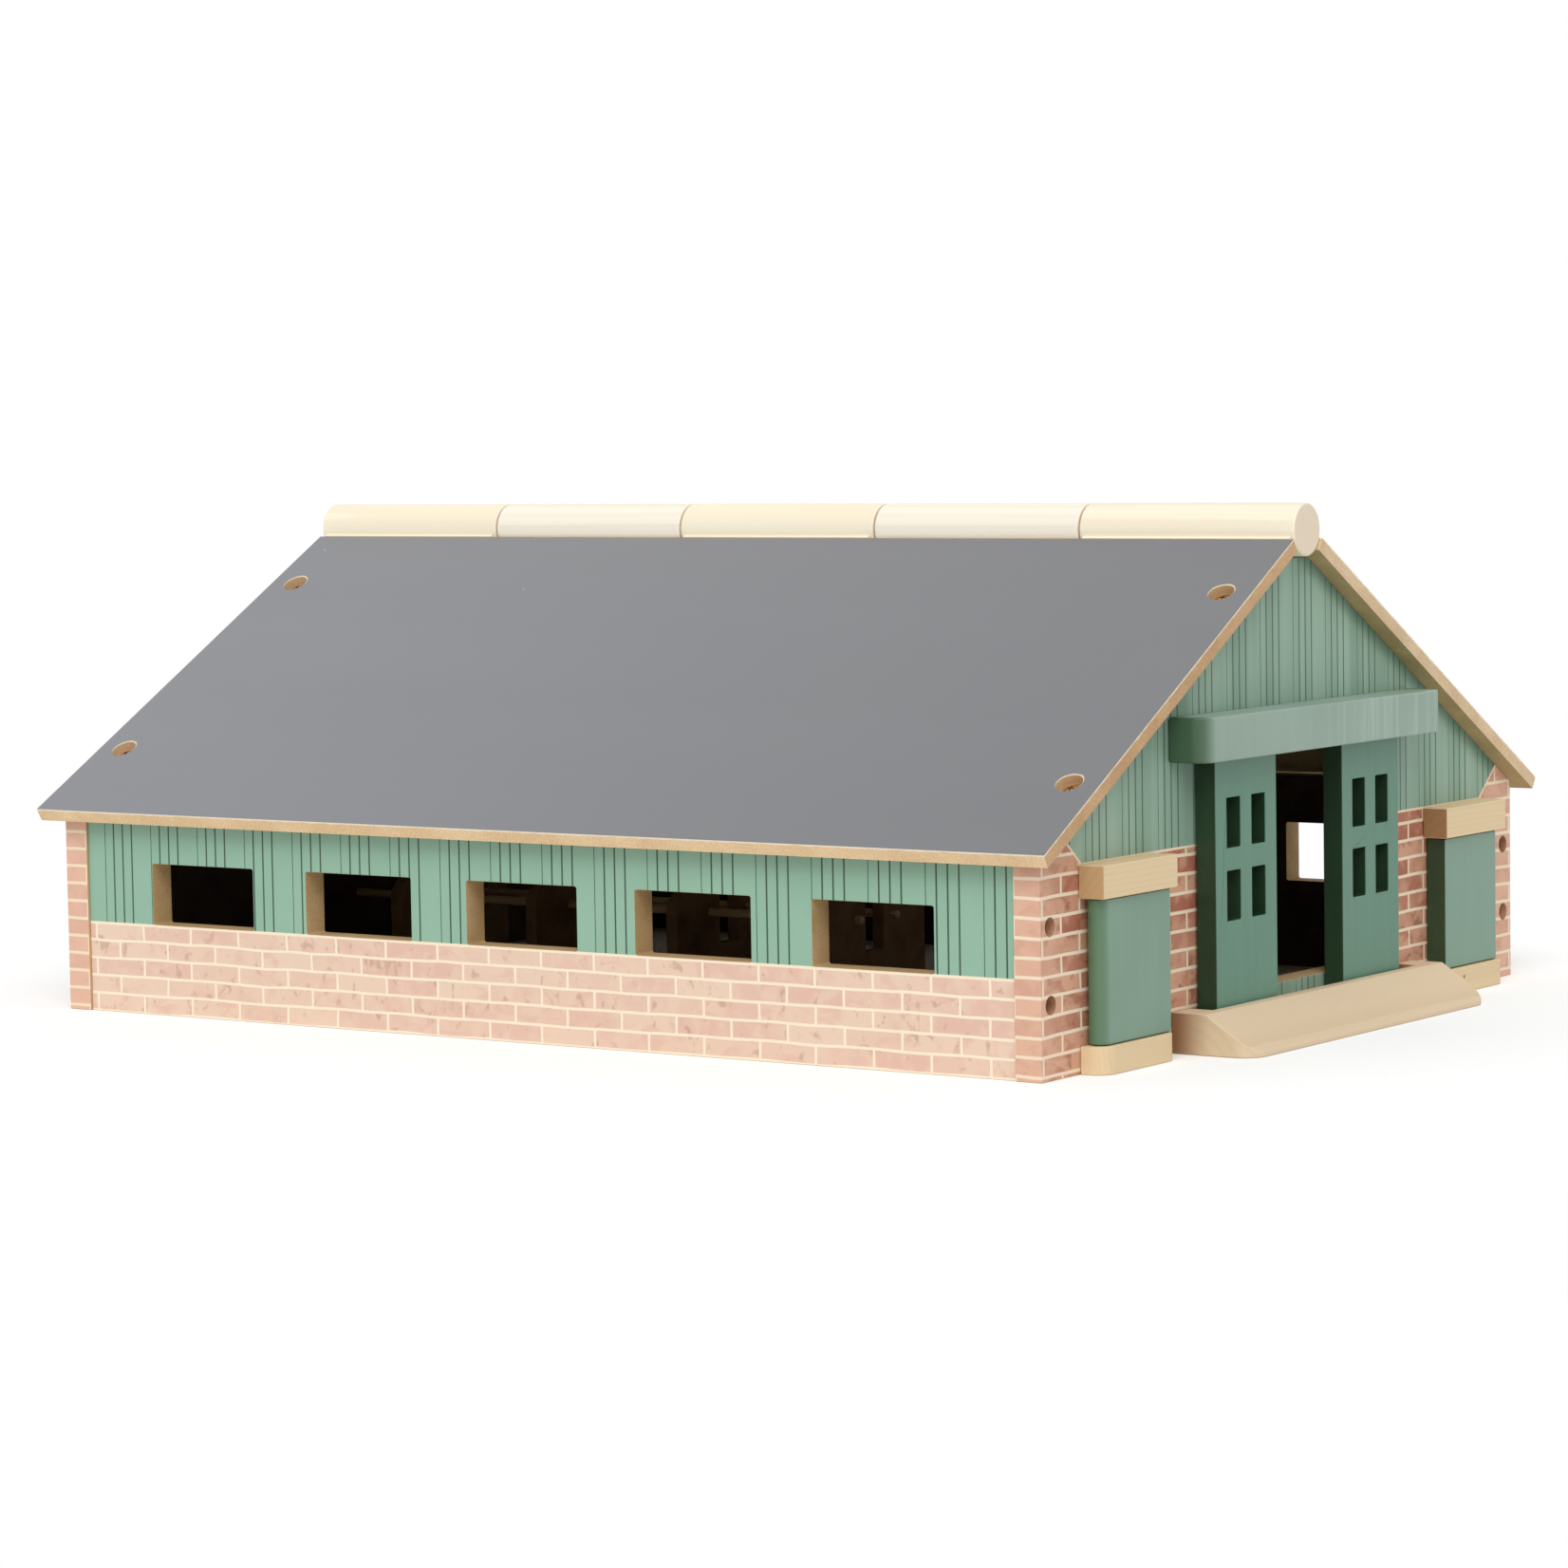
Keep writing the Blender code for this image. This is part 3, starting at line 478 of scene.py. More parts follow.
# %% Wall print
WALL_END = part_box("side_wall_left")[1].y
WALL_COURSE = 0.0077
WALL_COURSES = 5
WALL_JOINT = 0.0017
WALL_BRICK_START = 0.0101
BRICK_TOP = 0.0388
WALL_PERIOD = 0.0266
WALL_LINE_START = 0.0094
WALL_LINE = 0.0008
WALL_BORDER = (0.0003, 0.0006)


def wall_print():
    made = Finish("wall_print")
    from_end = made.minus(WALL_END, made.y)
    along = made.plus(from_end, WALL_BRICK_START)
    up = made.plus(made.z, WALL_COURSES * WALL_COURSE - BRICK_TOP)
    bricks = brick_ink(made, along, up, WALL_COURSE, WALL_JOINT, (239, 211, 187), (230, 190, 171),
                       (254, 238, 212), (192, 154, 126))[0]
    lines = plank_lines(made, made.minus(from_end, WALL_LINE_START), WALL_PERIOD, WALL_LINE)
    clouds = made.noise(40, 3)
    green = made.mix(clouds, (139, 180, 155), (153, 191, 168))
    boards = made.mix(made.times(lines, 0.92), green, (30, 60, 46))
    above = made.between(made.z, BRICK_TOP - PRINT_BLUR, BRICK_TOP + PRINT_BLUR)
    printed = made.mix(above, bricks, boards)
    border = made.math("COMPARE", made.z, BRICK_TOP - WALL_BORDER[0], WALL_BORDER[1])
    edged = made.mix(border, printed, (252, 236, 208))
    return made.finish(edged, 0.55, made.noise(900, 2), FILM_BUMP)


WALL_PRINT = wall_print()

# %% [markdown]
# ## The print of the gables
# The gables carry the same two patterns in deeper colours, and the bricks climb up both corners
# as quoins to the roof. They also run round the corner over the end of the board, so the place
# along the bricks counts on from the face into the edge. Whether a spot is brick or plank is
# decided by its distance inside the brick field, and the first millimetre of it is a cream line.
# On the front the courses are shifted a little from panel to panel, and the bricks grow paler
# towards both corners of the board. Just under the lid the boarding darkens with painted shade.

# %% Gable print
GABLE_LOW, GABLE_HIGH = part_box("gable_front")
GABLE_HALF = GABLE_HIGH.x
FRONT = GABLE_LOW.y
GABLE_BOARD = GABLE_HIGH.y - GABLE_LOW.y
GABLE_COURSE = 0.0076
GABLE_JOINT = 0.0018
GABLE_BRICK_START = 0.0120
COURSE_START = 0.0021
COURSE_SHIFTS = ((0.0, -0.0025), (0.16, 0.0037))
FIELD_TOP = 0.0815
FIELD_INNER = 0.060
QUOIN_FOOT = 0.167
QUOIN_SLANT = 16 / 13.5
GABLE_LINE_START = 0.0060
GABLE_PERIOD = 0.0275
GABLE_LINE = 0.0009
HALF_BORDER = 0.0005
RIGHT_FADE = (0.165, 0.186, 0.0, 0.5)
LEFT_FADE = (-0.197, -0.177, 0.35, 0.0)
ROOF_SHADE = (-0.0115, -0.0035, 0.0, 0.55)


def gable_print():
    made = Finish("gable_print")
    out = made.math("ABSOLUTE", made.x)
    depth = made.minus(-FRONT, made.math("ABSOLUTE", made.y))
    inwards = made.minus(made.minus(GABLE_HALF, out), depth)
    along = made.plus(inwards, GABLE_BRICK_START)
    up = made.minus(made.z, COURSE_START)
    on_front = made.math("LESS_THAN", made.y, 0.0)
    for panel_start, shift in COURSE_SHIFTS:
        on_panel = made.times(made.beyond(made.x, panel_start), on_front)
        up = made.minus(up, made.times(on_panel, shift))
    inks, joints = brick_ink(made, along, up, GABLE_COURSE, GABLE_JOINT, (218, 168, 138),
                             (170, 100, 76), (244, 222, 193), (136, 86, 60))
    corner_fade = made.math("MAXIMUM", made.between(made.x, *RIGHT_FADE),
                            made.between(made.x, *LEFT_FADE))
    on_end = made.beyond(out, GABLE_HALF - 2 * PRINT_BLUR)
    end_fade = made.between(made.y, FRONT, -FRONT, 0.60, 0.75)
    faded = made.math("MAXIMUM", made.times(corner_fade, on_front), made.times(on_end, end_fade))
    pale = made.mix(faded, inks, (240, 196, 170))
    bricks = made.mix(joints, pale, (247, 227, 200))
    lines = plank_lines(made, made.plus(made.x, GABLE_HALF - GABLE_LINE_START),
                        GABLE_PERIOD, GABLE_LINE)
    bands = made.noise(90, 2, made.stretched((1.0, 1.0, 0.05)))
    green = made.mix(made.between(bands, 0.3, 0.7), (133, 164, 144), (154, 181, 162))
    lined = made.mix(made.times(lines, 0.8), green, (44, 70, 54))
    # painted shade: a dark band just under the lid, on the right half of the gable
    painted_shade_under_roof = made.between(on_roof(made)[1], *ROOF_SHADE)
    painted_shade_under_lid = made.times(painted_shade_under_roof, made.beyond(made.x, 0.0))
    boards = made.mix(painted_shade_under_lid, lined, (50, 96, 70))
    below = made.minus(FIELD_TOP, made.z)
    field = made.math("MINIMUM", below, made.minus(out, FIELD_INNER))
    limit = made.math("MULTIPLY_ADD", made.z, QUOIN_SLANT,
                      QUOIN_FOOT - FIELD_TOP * QUOIN_SLANT)
    level = 1 / math.sqrt(1 + QUOIN_SLANT ** 2)
    quoins = made.times(made.minus(out, limit), level)
    inside = made.math("MAXIMUM", field, quoins)
    printed = made.mix(made.between(inside, -PRINT_BLUR, PRINT_BLUR), boards, bricks)
    border = made.math("COMPARE", inside, HALF_BORDER, HALF_BORDER)
    base = made.mix(border, printed, (243, 222, 190))
    return made.finish(base, 0.6, made.noise(900, 2), FILM_BUMP)


GABLE_PRINT = gable_print()

# %% [markdown]
# ## Grey roof paint
# The roof boards are sprayed grey with a soft sheen. The film shows almost no texture, only
# clouds of slightly different grey, a very fine orange-peel bump and a few pale specks. Towards
# the rear the grey grows lighter as a painted reflection.

# %% Roof paint
ROOF_SCREW_REACH = (0.052942, 0.189450)
ROOF_SCREW_SPREAD = 0.244
ROOF_CHIPS = (0.0056, 0.0061)


def roof_paint():
    made = Finish("roof_grey_paint")
    clouds = made.noise(9, 3)
    streaks = made.noise(30, 3, made.stretched((1.0, 0.12, 1.0)))
    # painted reflection: the grey grows lighter towards the rear
    rear = made.between(made.math("MULTIPLY_ADD", clouds, 0.2, made.y), -0.2, 0.4)
    grey = made.mix(rear, (119, 120, 123), (132, 133, 137))
    even = made.shaded(grey, made.between(streaks, 0.2, 0.8, 0.985, 1.015))
    specks = made.add("ShaderNodeTexVoronoi", {"Vector": made.place, "Scale": 28.0},
                      feature="F1")
    dots = made.between(specks.outputs["Distance"], 0.012, 0.02, 0.55, 0.0)
    dotted = made.mix(dots, even, (206, 206, 204))
    along = on_roof(made)[0]
    down = made.math("MULTIPLY_ADD", made.noise(300, 2), 0.0010, along)
    beside = made.minus(made.math("ABSOLUTE", made.y), ROOF_SCREW_SPREAD)
    rims = [made.distance(made.minus(down, reach), beside) for reach in ROOF_SCREW_REACH]
    nearest = made.math("MINIMUM", *rims)
    chipped = made.times(made.between(nearest, *ROOF_CHIPS, 1.0, 0.0),
                         made.math("LESS_THAN", made.x, 0.0))
    base = made.mix(chipped, dotted, (226, 206, 176))
    peel = made.noise(700, 2)
    roughness = made.between(clouds, 0.2, 0.8, 0.42, 0.52)
    return made.finish(base, roughness, peel, FILM_BUMP)


ROOF_PAINT = roof_paint()

# %% [markdown]
# ## Green door paint
# The doors and the lintel are dipped in green paint, which lies thinner over the edges and
# sinks a little into the wood. The grain shows as faint streaks in the film. The sawn edges, and
# the underside and back of the lintel, get a much deeper tone of the same finish as painted
# shade, and the round ends of the lintel and the side doors darken with painted shade too. The
# lintel is worn thin on its right half and chipped along the wall.

# %% Door paint
LINTEL_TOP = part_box("door_lintel")[1].z
LINTEL_WEAR = FRONT - 0.0022


def door_paint(name, light, dark, ends=None, end_shade_colour=None, worn_from=None):
    """Green paint that may darken to painted shade at both ends; a worn one is thin and has chips.

    The chips lie on top of the lintel, from the given Y back to the wall.
    """
    made = Finish(name)
    grain = made.noise(260, 3, made.stretched((1.0, 1.0, 0.06)))
    clouds = made.noise(24, 2)
    mixed = made.math("MULTIPLY_ADD", made.minus(grain, 0.5), 0.5, clouds)
    base = made.mix(made.between(mixed, 0.2, 0.8), dark, light)
    if ends:
        # painted shade: the round ends turn away from the light and darken
        shade_towards_end = made.between(made.math("ABSOLUTE", made.x), *ends)
        base = made.mix(shade_towards_end, base, end_shade_colour)
    if worn_from:
        runs = made.noise(420, 2, made.stretched((1.0, 1.0, 0.04)))
        on_right = made.between(made.x, -0.02, 0.03)
        thin = made.times(made.between(runs, 0.50, 0.72, 0.0, 0.4), on_right)
        base = made.mix(thin, base, (178, 196, 184))
        chips = made.between(made.noise(330, 3), 0.54, 0.62)
        at_wall = made.between(made.y, worn_from, worn_from + 0.0008)
        on_top = made.between(made.z, LINTEL_TOP - 0.0006, LINTEL_TOP - 0.0002)
        chipped = made.times(chips, made.times(at_wall, on_top))
        base = made.mix(chipped, base, (196, 186, 156))
    roughness = made.between(clouds, 0.2, 0.8, 0.38, 0.5)
    return made.finish(base, roughness, grain, 0.00003)


DOOR_FACE = door_paint("door_face_paint", (95, 138, 117), (85, 130, 109))
# painted shade: the edge paints are dark copies of the green for the shaded edges
DOOR_EDGE_SHADE = door_paint("door_edge_painted_shade", (33, 62, 37), (23, 51, 29))
# the side doors and the lintel darken at their round ends with painted shade
SIDE_FACE = door_paint("side_door_paint", (126, 158, 139), (118, 150, 131), (0.1620, 0.1665),
                       (92, 125, 95))
SIDE_DOOR_EDGE_SHADE = door_paint("side_door_edge_painted_shade", (45, 72, 44), (33, 58, 34))
LINTEL_FACE = door_paint("lintel_paint", (149, 171, 157), (139, 162, 147), (0.0925, 0.1005),
                         (62, 92, 66), LINTEL_WEAR)
LINTEL_EDGE_SHADE = door_paint("lintel_edge_painted_shade", (96, 124, 100), (82, 110, 86))

# %% [markdown]
# ## Natural wood
# A block of wood is cut out of growth rings. The rings are drawn as distance from the middle of
# a tree that stands well outside the block, so every face of the block cuts the same rings, as
# it does in real wood. Fine pores run along the grain. The sawn ends drink the varnish and are
# darker, so they are a second tone of the same recipe. The end of the right upper block is darker
# still as painted shade, and the ends of the ramp darken towards the wall with painted shade. One
# nail hole shows in a block on the right.

# %% Wood
RIGHT_NAIL = (0.1295, 0.0070)
NAIL_HOLE = (0.0005, 0.0011)
SHADE_DEPTH = 0.020


def wood(name, grain_axis, heart, light, dark, ring=0.0034, rough=0.6, contrast=0.75,
         nail=None, painted_shade=None):
    """Wood with rings round a heart line that runs along the grain axis, X or Y.

    A nail is one dark dot at a place in front view. Painted shade darkens the wood near the wall.
    """
    made = Finish(name)
    across = made.y if grain_axis == "X" else made.x
    squeeze = tuple(0.05 if axis == grain_axis else 1.0 for axis in "XYZ")
    drift = made.noise(28, 2, made.stretched(squeeze))
    distance = made.distance(made.minus(across, heart[0]), made.minus(made.z, heart[1]))
    swayed = made.math("MULTIPLY_ADD", drift, 0.012, distance)
    growth = made.math("FRACT", made.math("DIVIDE", swayed, ring))
    rings = made.minus(made.between(growth, 0.35, 0.95), made.between(growth, 0.96, 1.0))
    pores = made.noise(1500, 2, made.stretched(squeeze))
    tone = made.mix(made.times(rings, contrast), light, dark)
    dust = made.between(pores, 0.55, 0.8, 0.0, 0.35)
    base = made.mix(dust, tone, dark)
    if nail:
        away = made.distance(made.minus(made.x, nail[0]), made.minus(made.z, nail[1]))
        base = made.mix(made.between(away, *NAIL_HOLE, 0.85, 0.0), base, (112, 78, 48))
    # painted shade: the ramp's ends darken towards the wall
    if painted_shade:
        painted_shade_near_wall = made.between(made.y, FRONT - SHADE_DEPTH, FRONT)
        base = made.mix(painted_shade_near_wall, base, painted_shade)
    height = made.math("MULTIPLY_ADD", rings, contrast, made.times(pores, 0.5))
    return made.finish(base, rough, height, 0.00004)


BLOCK_HEART = (-0.32, 0.02)
RAMP_HEART = (-0.24, -0.03)
RIDGE_HEART = (0.03, 0.17)
BLOCK_WOOD = wood("block_wood", "X", BLOCK_HEART, (231, 206, 165), (214, 185, 141), 0.0017,
                  contrast=0.22, nail=RIGHT_NAIL)
BLOCK_END = wood("block_end_wood", "X", BLOCK_HEART, (196, 162, 116), (180, 146, 102),
                 contrast=0.3)
# painted shade: a darker copy for the end of the right upper block
BLOCK_END_PAINTED_SHADE = wood("block_end_wood_painted_shade", "X", BLOCK_HEART, (162, 122, 82), (146, 106, 70),
                      contrast=0.3)
RAMP_WOOD = wood("ramp_wood", "X", RAMP_HEART, (227, 203, 170), (214, 188, 150), 0.0052,
                 contrast=0.45)
RAMP_END = wood("ramp_end_wood", "X", RAMP_HEART, (224, 200, 166), (208, 182, 144), 0.0052,
                contrast=0.3, painted_shade=(146, 106, 72))
RAIL_WOOD = wood("rail_wood", "Y", (0.02, 0.02), (214, 188, 146), (192, 160, 116), 0.002)
FIXED_RIDGE = wood("fixed_ridge_wood", "Y", RIDGE_HEART, (254, 244, 220), (248, 233, 203), 0.0030,
                   0.5, 0.6)
LID_RIDGE = wood("lid_ridge_wood", "Y", (-0.02, 0.16), (253, 246, 230), (247, 238, 216), 0.0042,
                 0.5)
RIDGE_END = wood("ridge_end_wood", "Y", RIDGE_HEART, (236, 220, 196), (226, 206, 178), 0.0026,
                 contrast=0.25)
STALL_WOOD = raw_board("stall_board", (150, 116, 78), (132, 98, 64))

# %% [markdown]
# ## Screws and pins
# The screws are yellow-plated steel and the pins are plain steel. Metal needs little colour
# variation but a broken gloss, so the same cloud moves both the colour and the roughness.

# %% Metal
def metal(name, light, dark, low, high):
    made = Finish(name)
    wear = made.noise(420, 3)
    base = made.mix(wear, dark, light)
    roughness = made.between(wear, 0.3, 0.7, low, high)
    return made.finish(base, roughness, wear, FILM_BUMP, 1.0)


PLATED = metal("plated_steel", (214, 176, 112), (150, 104, 62), 0.28, 0.5)
PIN_STEEL = metal("pin_steel", (206, 205, 201), (160, 159, 156), 0.25, 0.45)

# %% [markdown]
# ## Cutting boards
# Every board is a flat outline with thickness. A filled 2D curve makes that in one step: the
# first outline is the board and each further one is an opening in it, and the extrude depth is
# half the thickness. The curve is turned into a mesh and moved in place there, so the finished
# object itself stays at the origin. Pieces that would touch keep a hair of space between them.

# %% Saw a board
FRONT_VIEW = Matrix.Rotation(math.pi / 2, 4, "X")
SIDE_VIEW = Matrix.Rotation(math.pi / 2, 4, "Z") @ FRONT_VIEW
TOP_VIEW = Matrix.Identity(4)
WELD = 0.000002
NEAR = 0.00001
HAIR = 0.00005


def rectangle(low_x, low_y, high_x, high_y):
    return [(low_x, low_y), (high_x, low_y), (high_x, high_y), (low_x, high_y)]


def arc(x, y, radius, start, end, steps=12):
    """Points on an arc; the angles are in degrees and the ends are included."""
    turns = [math.radians(start + (end - start) * step / steps) for step in range(steps + 1)]
    return [(x + radius * math.cos(angle), y + radius * math.sin(angle)) for angle in turns]


def rounded(low_x, low_y, high_x, high_y, radius):
    """A rectangle with four round corners."""
    return (arc(high_x - radius, high_y - radius, radius, 0, 90, 6)
            + arc(low_x + radius, high_y - radius, radius, 90, 180, 6)
            + arc(low_x + radius, low_y + radius, radius, 180, 270, 6)
            + arc(high_x - radius, low_y + radius, radius, 270, 360, 6))


def as_mesh(holder):
    """A plain mesh of what an object shows; the object itself goes."""
    scene.collection.objects.link(holder)
    depsgraph = bpy.context.evaluated_depsgraph_get()
    mesh = bpy.data.meshes.new_from_object(holder.evaluated_get(depsgraph))
    bpy.data.objects.remove(holder)
    return mesh


def closed(mesh):
    """Weld the corners of a mesh, turn its faces outwards and join those that are level."""
    work = bmesh.new()
    work.from_mesh(mesh)
    bmesh.ops.remove_doubles(work, verts=work.verts, dist=WELD)
    bmesh.ops.recalc_face_normals(work, faces=work.faces)
    bmesh.ops.dissolve_limit(work, angle_limit=0.002, verts=work.verts, edges=work.edges)
    work.to_mesh(mesh)
    work.free()
    return mesh


def board_mesh(name, outlines, thickness, place):
    """A board sawn from outlines; place turns it out of the XY plane and sets its middle."""
    drawing = bpy.data.curves.new(name, "CURVE")
    drawing.dimensions = "2D"
    drawing.fill_mode = "BOTH"
    drawing.extrude = thickness / 2
    for outline in outlines:
        line = drawing.splines.new("POLY")
        line.points.add(len(outline) - 1)
        for corner, (x, y) in zip(line.points, outline):
            corner.co = (x, y, 0, 1)
        line.use_cyclic_u = True
    mesh = closed(as_mesh(bpy.data.objects.new(name, drawing)))
    mesh.transform(place)
    mesh.name = name
    mesh.materials.clear()
    return mesh


def shown(name, mesh):
    """Put a mesh in the scene as a piece."""
    piece = bpy.data.objects.new(name, mesh)
    scene.collection.objects.link(piece)
    return piece


def board(name, outlines, thickness, place):
    piece = shown(name, board_mesh(name, outlines, thickness, place))
    print("sawn:", name, len(piece.data.polygons), "faces")
    return piece


def front_board(name, outlines, low, high):
    """A board drawn in front view and as thick as its box is deep."""
    place = Matrix.Translation((0, (low.y + high.y) / 2, 0)) @ FRONT_VIEW
    return board(name, outlines, high.y - low.y, place)


def flat_board(name, outline, low, high):
    """A board drawn from above and as thick as its box is high."""
    return board(name, [outline], high.z - low.z, Matrix.Translation((0, 0, (low.z + high.z) / 2)))


print("boards can be drawn from the front, from the side and from above")

# %% [markdown]
# ## Drilling and grooving
# A countersunk hole is a turned shape: a wide sink and a thin bore. The Screw modifier turns a
# profile round an axis, and the Boolean modifier takes it out of the board. The result is baked
# into the mesh at once, because a live Boolean would keep its cutter in the scene.

# %% Turn and cut
def turned_mesh(name, profile, steps=32):
    """A solid turned round Z from a profile of (radius, height), from the top down."""
    sketch = bpy.data.meshes.new(name)
    sketch.from_pydata([(radius, 0, height) for radius, height in profile],
                       [(index, index + 1) for index in range(len(profile) - 1)], [])
    holder = bpy.data.objects.new(name, sketch)
    screw = holder.modifiers.new("turn", "SCREW")
    screw.steps = steps
    screw.render_steps = steps
    screw.use_merge_vertices = True
    screw.merge_threshold = WELD
    return closed(as_mesh(holder))


def copies(name, mesh, places):
    """One mesh with a copy of the given one at each place."""
    work = bmesh.new()
    for place in places:
        first = len(work.verts)
        work.from_mesh(mesh)
        work.verts.ensure_lookup_table()
        bmesh.ops.transform(work, matrix=place, verts=work.verts[first:])
    joined = bpy.data.meshes.new(name)
    work.to_mesh(joined)
    work.free()
    return joined


def cut(piece, cutter, operation="DIFFERENCE"):
    """Take a cutter out of a piece, or keep only what lies in it, and bake the result."""
    tool = shown("tool", cutter)
    knife = piece.modifiers.new("knife", "BOOLEAN")
    knife.operation = operation
    knife.solver = "EXACT"
    knife.object = tool
    depsgraph = bpy.context.evaluated_depsgraph_get()
    mesh = closed(bpy.data.meshes.new_from_object(piece.evaluated_get(depsgraph)))
    piece.modifiers.clear()
    mesh.name = piece.name
    piece.data = mesh
    bpy.data.objects.remove(tool)
    print("cut:", piece.name, len(mesh.polygons), "faces")


def facing(direction, x, y, z):
    """A frame at a point whose Z runs along a world direction, out of the work."""
    aim = Vector(direction).to_track_quat("Z", "Y").to_matrix().to_4x4()
    return Matrix.Translation((x, y, z)) @ aim


print("holes can be turned and cut")

# %% [markdown]
# ## Colouring faces and easing edges
# One board carries several finishes: print outside, painted shade inside, raw edges all round.
# Each face is given to a slot by a rule that reads its direction and its middle. A real board
# never has a razor edge, so a small live bevel catches the light along every corner.

# %% Paint, ease and dress
def paint(piece, materials, rule=lambda normal, centre: 0):
    """Give each face the slot number that the rule returns for its normal and centre."""
    piece.data.materials.clear()
    for material in materials:
        piece.data.materials.append(material)
    for face in piece.data.polygons:
        face.material_index = rule(face.normal, face.center)


def end_faces(normal, centre):
    """The second finish for the faces at the left and right end."""
    return 1 if abs(normal.x) > 0.9 else 0


def ease(piece, width, segments=2, angle=35):
    """Round the edges of a piece a little, with smooth shading across the rounding."""
    piece.data.shade_smooth()
    bevel = piece.modifiers.new("eased_edges", "BEVEL")
    bevel.width = width
    bevel.segments = segments
    bevel.limit_method = "ANGLE"
    bevel.angle_limit = math.radians(angle)
    bevel.use_clamp_overlap = False
    bevel.harden_normals = True


def dress(piece, body, slot, *nodes):
    """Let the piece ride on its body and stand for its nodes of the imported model."""
    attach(piece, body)
    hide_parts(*nodes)
    print("dressed:", piece.name, "on", body)


def dress_pins(names):
    """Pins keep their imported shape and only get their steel."""
    for name in names:
        pin = frame["nodes"][name]
        pin.data.materials.clear()
        pin.data.materials.append(PIN_STEEL)
    print("pins in steel:", len(names))


print("pieces can be painted, eased and dressed")

# %% [markdown]
# ## Where the screws go
# The holes come first, because walls, gables and roof are all drilled for the same screws. A
# screw is a frame: its origin lies on the face of the board and its Z points out of the work.
# Each kind of hole has a sink for the head and a narrow bore for the shank.

# %% Screw places
ROOF_BOARD = 0.006
SHANK = 0.0017
HOLE_START = 0.002
WALL_SINK = (0.0037, 0.0055)
ROOF_SINK = (0.0055, 0.0042)
INNER_SINK = (0.0037, 0.0030)


def middle_of(node):
    low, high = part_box(node)
    return (low + high) / 2


def screw_faces(names, direction, y):
    """Frames on a flat face at this Y, at the middles of the screw nodes."""
    middles = [middle_of(name) for name in names]
    return [facing(direction, middle.x, y, middle.z) for middle in middles]


def numbered(name, count):
    return [f"{name}_{index + 1}" for index in range(count)]


FRONT_SCREWS = numbered("wall_screw_front", 4)
REAR_SCREWS = numbered("wall_screw_rear", 4)
ROOF_SCREWS = numbered("roof_screw", 4)
INNER_SCREWS = [f"{kind}_screw_{side}" for kind in ("lintel", "ramp", "side_lintel", "side_sill")
                for side in ("left", "right")]
front_places = screw_faces(FRONT_SCREWS, (0, -1, 0), FRONT)
rear_places = screw_faces(REAR_SCREWS, (0, 1, 0), -FRONT)
inner_places = screw_faces(INNER_SCREWS, (0, 1, 0), FRONT + GABLE_BOARD)
base_places = screw_faces(["stall_base_screw"], (0, 1, 0), -FRONT)
roof_normal = Vector((-math.sin(ROOF_PITCH), 0, math.cos(ROOF_PITCH)))
down_slope = Vector((-math.cos(ROOF_PITCH), 0, -math.sin(ROOF_PITCH)))
roof_places = []
for reach in ROOF_SCREW_REACH:
    for y in (-ROOF_SCREW_SPREAD, ROOF_SCREW_SPREAD):
        spot = RIDGE_AXIS + down_slope * reach + roof_normal * (ROOF_BOARD / 2)
        roof_places.append(facing(roof_normal, spot.x, y, spot.z))
print("screws:", len(front_places + rear_places + inner_places + base_places + roof_places))


def hole_mesh(name, sink, places, length=0.030):
    """Stepped holes for screws: the sink of the head and the bore of the shank."""
    radius, depth = sink
    bore = SHANK + HAIR
    profile = [(0, HOLE_START), (radius, HOLE_START), (radius, -depth), (bore, -depth),
               (bore, -depth - length), (0, -depth - length)]
    return copies(name, turned_mesh("hole", profile), places)


def in_hole(centre, places, sink):
    """Whether a face lies in the sink of one of the holes, below the face of the board."""
    radius, depth = sink
    for place in places:
        spot = place.inverted() @ centre
        below = -depth - 2 * HAIR < spot.z < -2 * HAIR
        if below and math.hypot(spot.x, spot.y) < radius + 2 * HAIR:
            return True
    return False


# %% [markdown]
# ## The long walls
# Each wall is a 12 mm board with five windows, standing between the gables. The corners of the
# windows are nearly square. Outside it carries the print, inside it is dark with painted shade,
# and the raw board shows in the window openings.

# %% Side walls
WINDOW_SILL = 0.039
WINDOW_TOP = 0.0655
WINDOW_WIDTH = 0.057
WINDOW_PITCH = 0.0863
WINDOW_CORNER = 0.001
WINDOWS = range(-2, 3)


def side_wall(word, side):
    node = "side_wall_" + word
    low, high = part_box(node)
    half = -FRONT - GABLE_BOARD - HAIR
    outlines = [rectangle(-half, low.z, half, high.z)]
    for index in WINDOWS:
        middle = index * WINDOW_PITCH
        outlines.append(rounded(middle - WINDOW_WIDTH / 2, WINDOW_SILL,
                                middle + WINDOW_WIDTH / 2, WINDOW_TOP, WINDOW_CORNER))
    place = Matrix.Translation(((low.x + high.x) / 2, 0, 0)) @ SIDE_VIEW
    wall = board(word + "_wall_board", outlines, high.x - low.x, place)

    def rule(normal, centre):
        if normal.x * side > 0.7:
            return 0
        if normal.x * side < -0.7:
            return 1
        return 2

    paint(wall, [WALL_PRINT, INSIDE_PAINTED_SHADE, RAW_JAMB], rule)
    ease(wall, 0.00025)
    dress(wall, "barn", "wall_board", node)


side_wall("left", -1)
side_wall("right", 1)

# %% [markdown]
# ## The gables
# Both gables have the same outline, a house shape whose tip is cut off flat under the ridge. The
# front one has the main doorway and two small ones. The outline is read off the sizes of the
# roof, and the sink holes of the wall screws are drilled into the outer face.

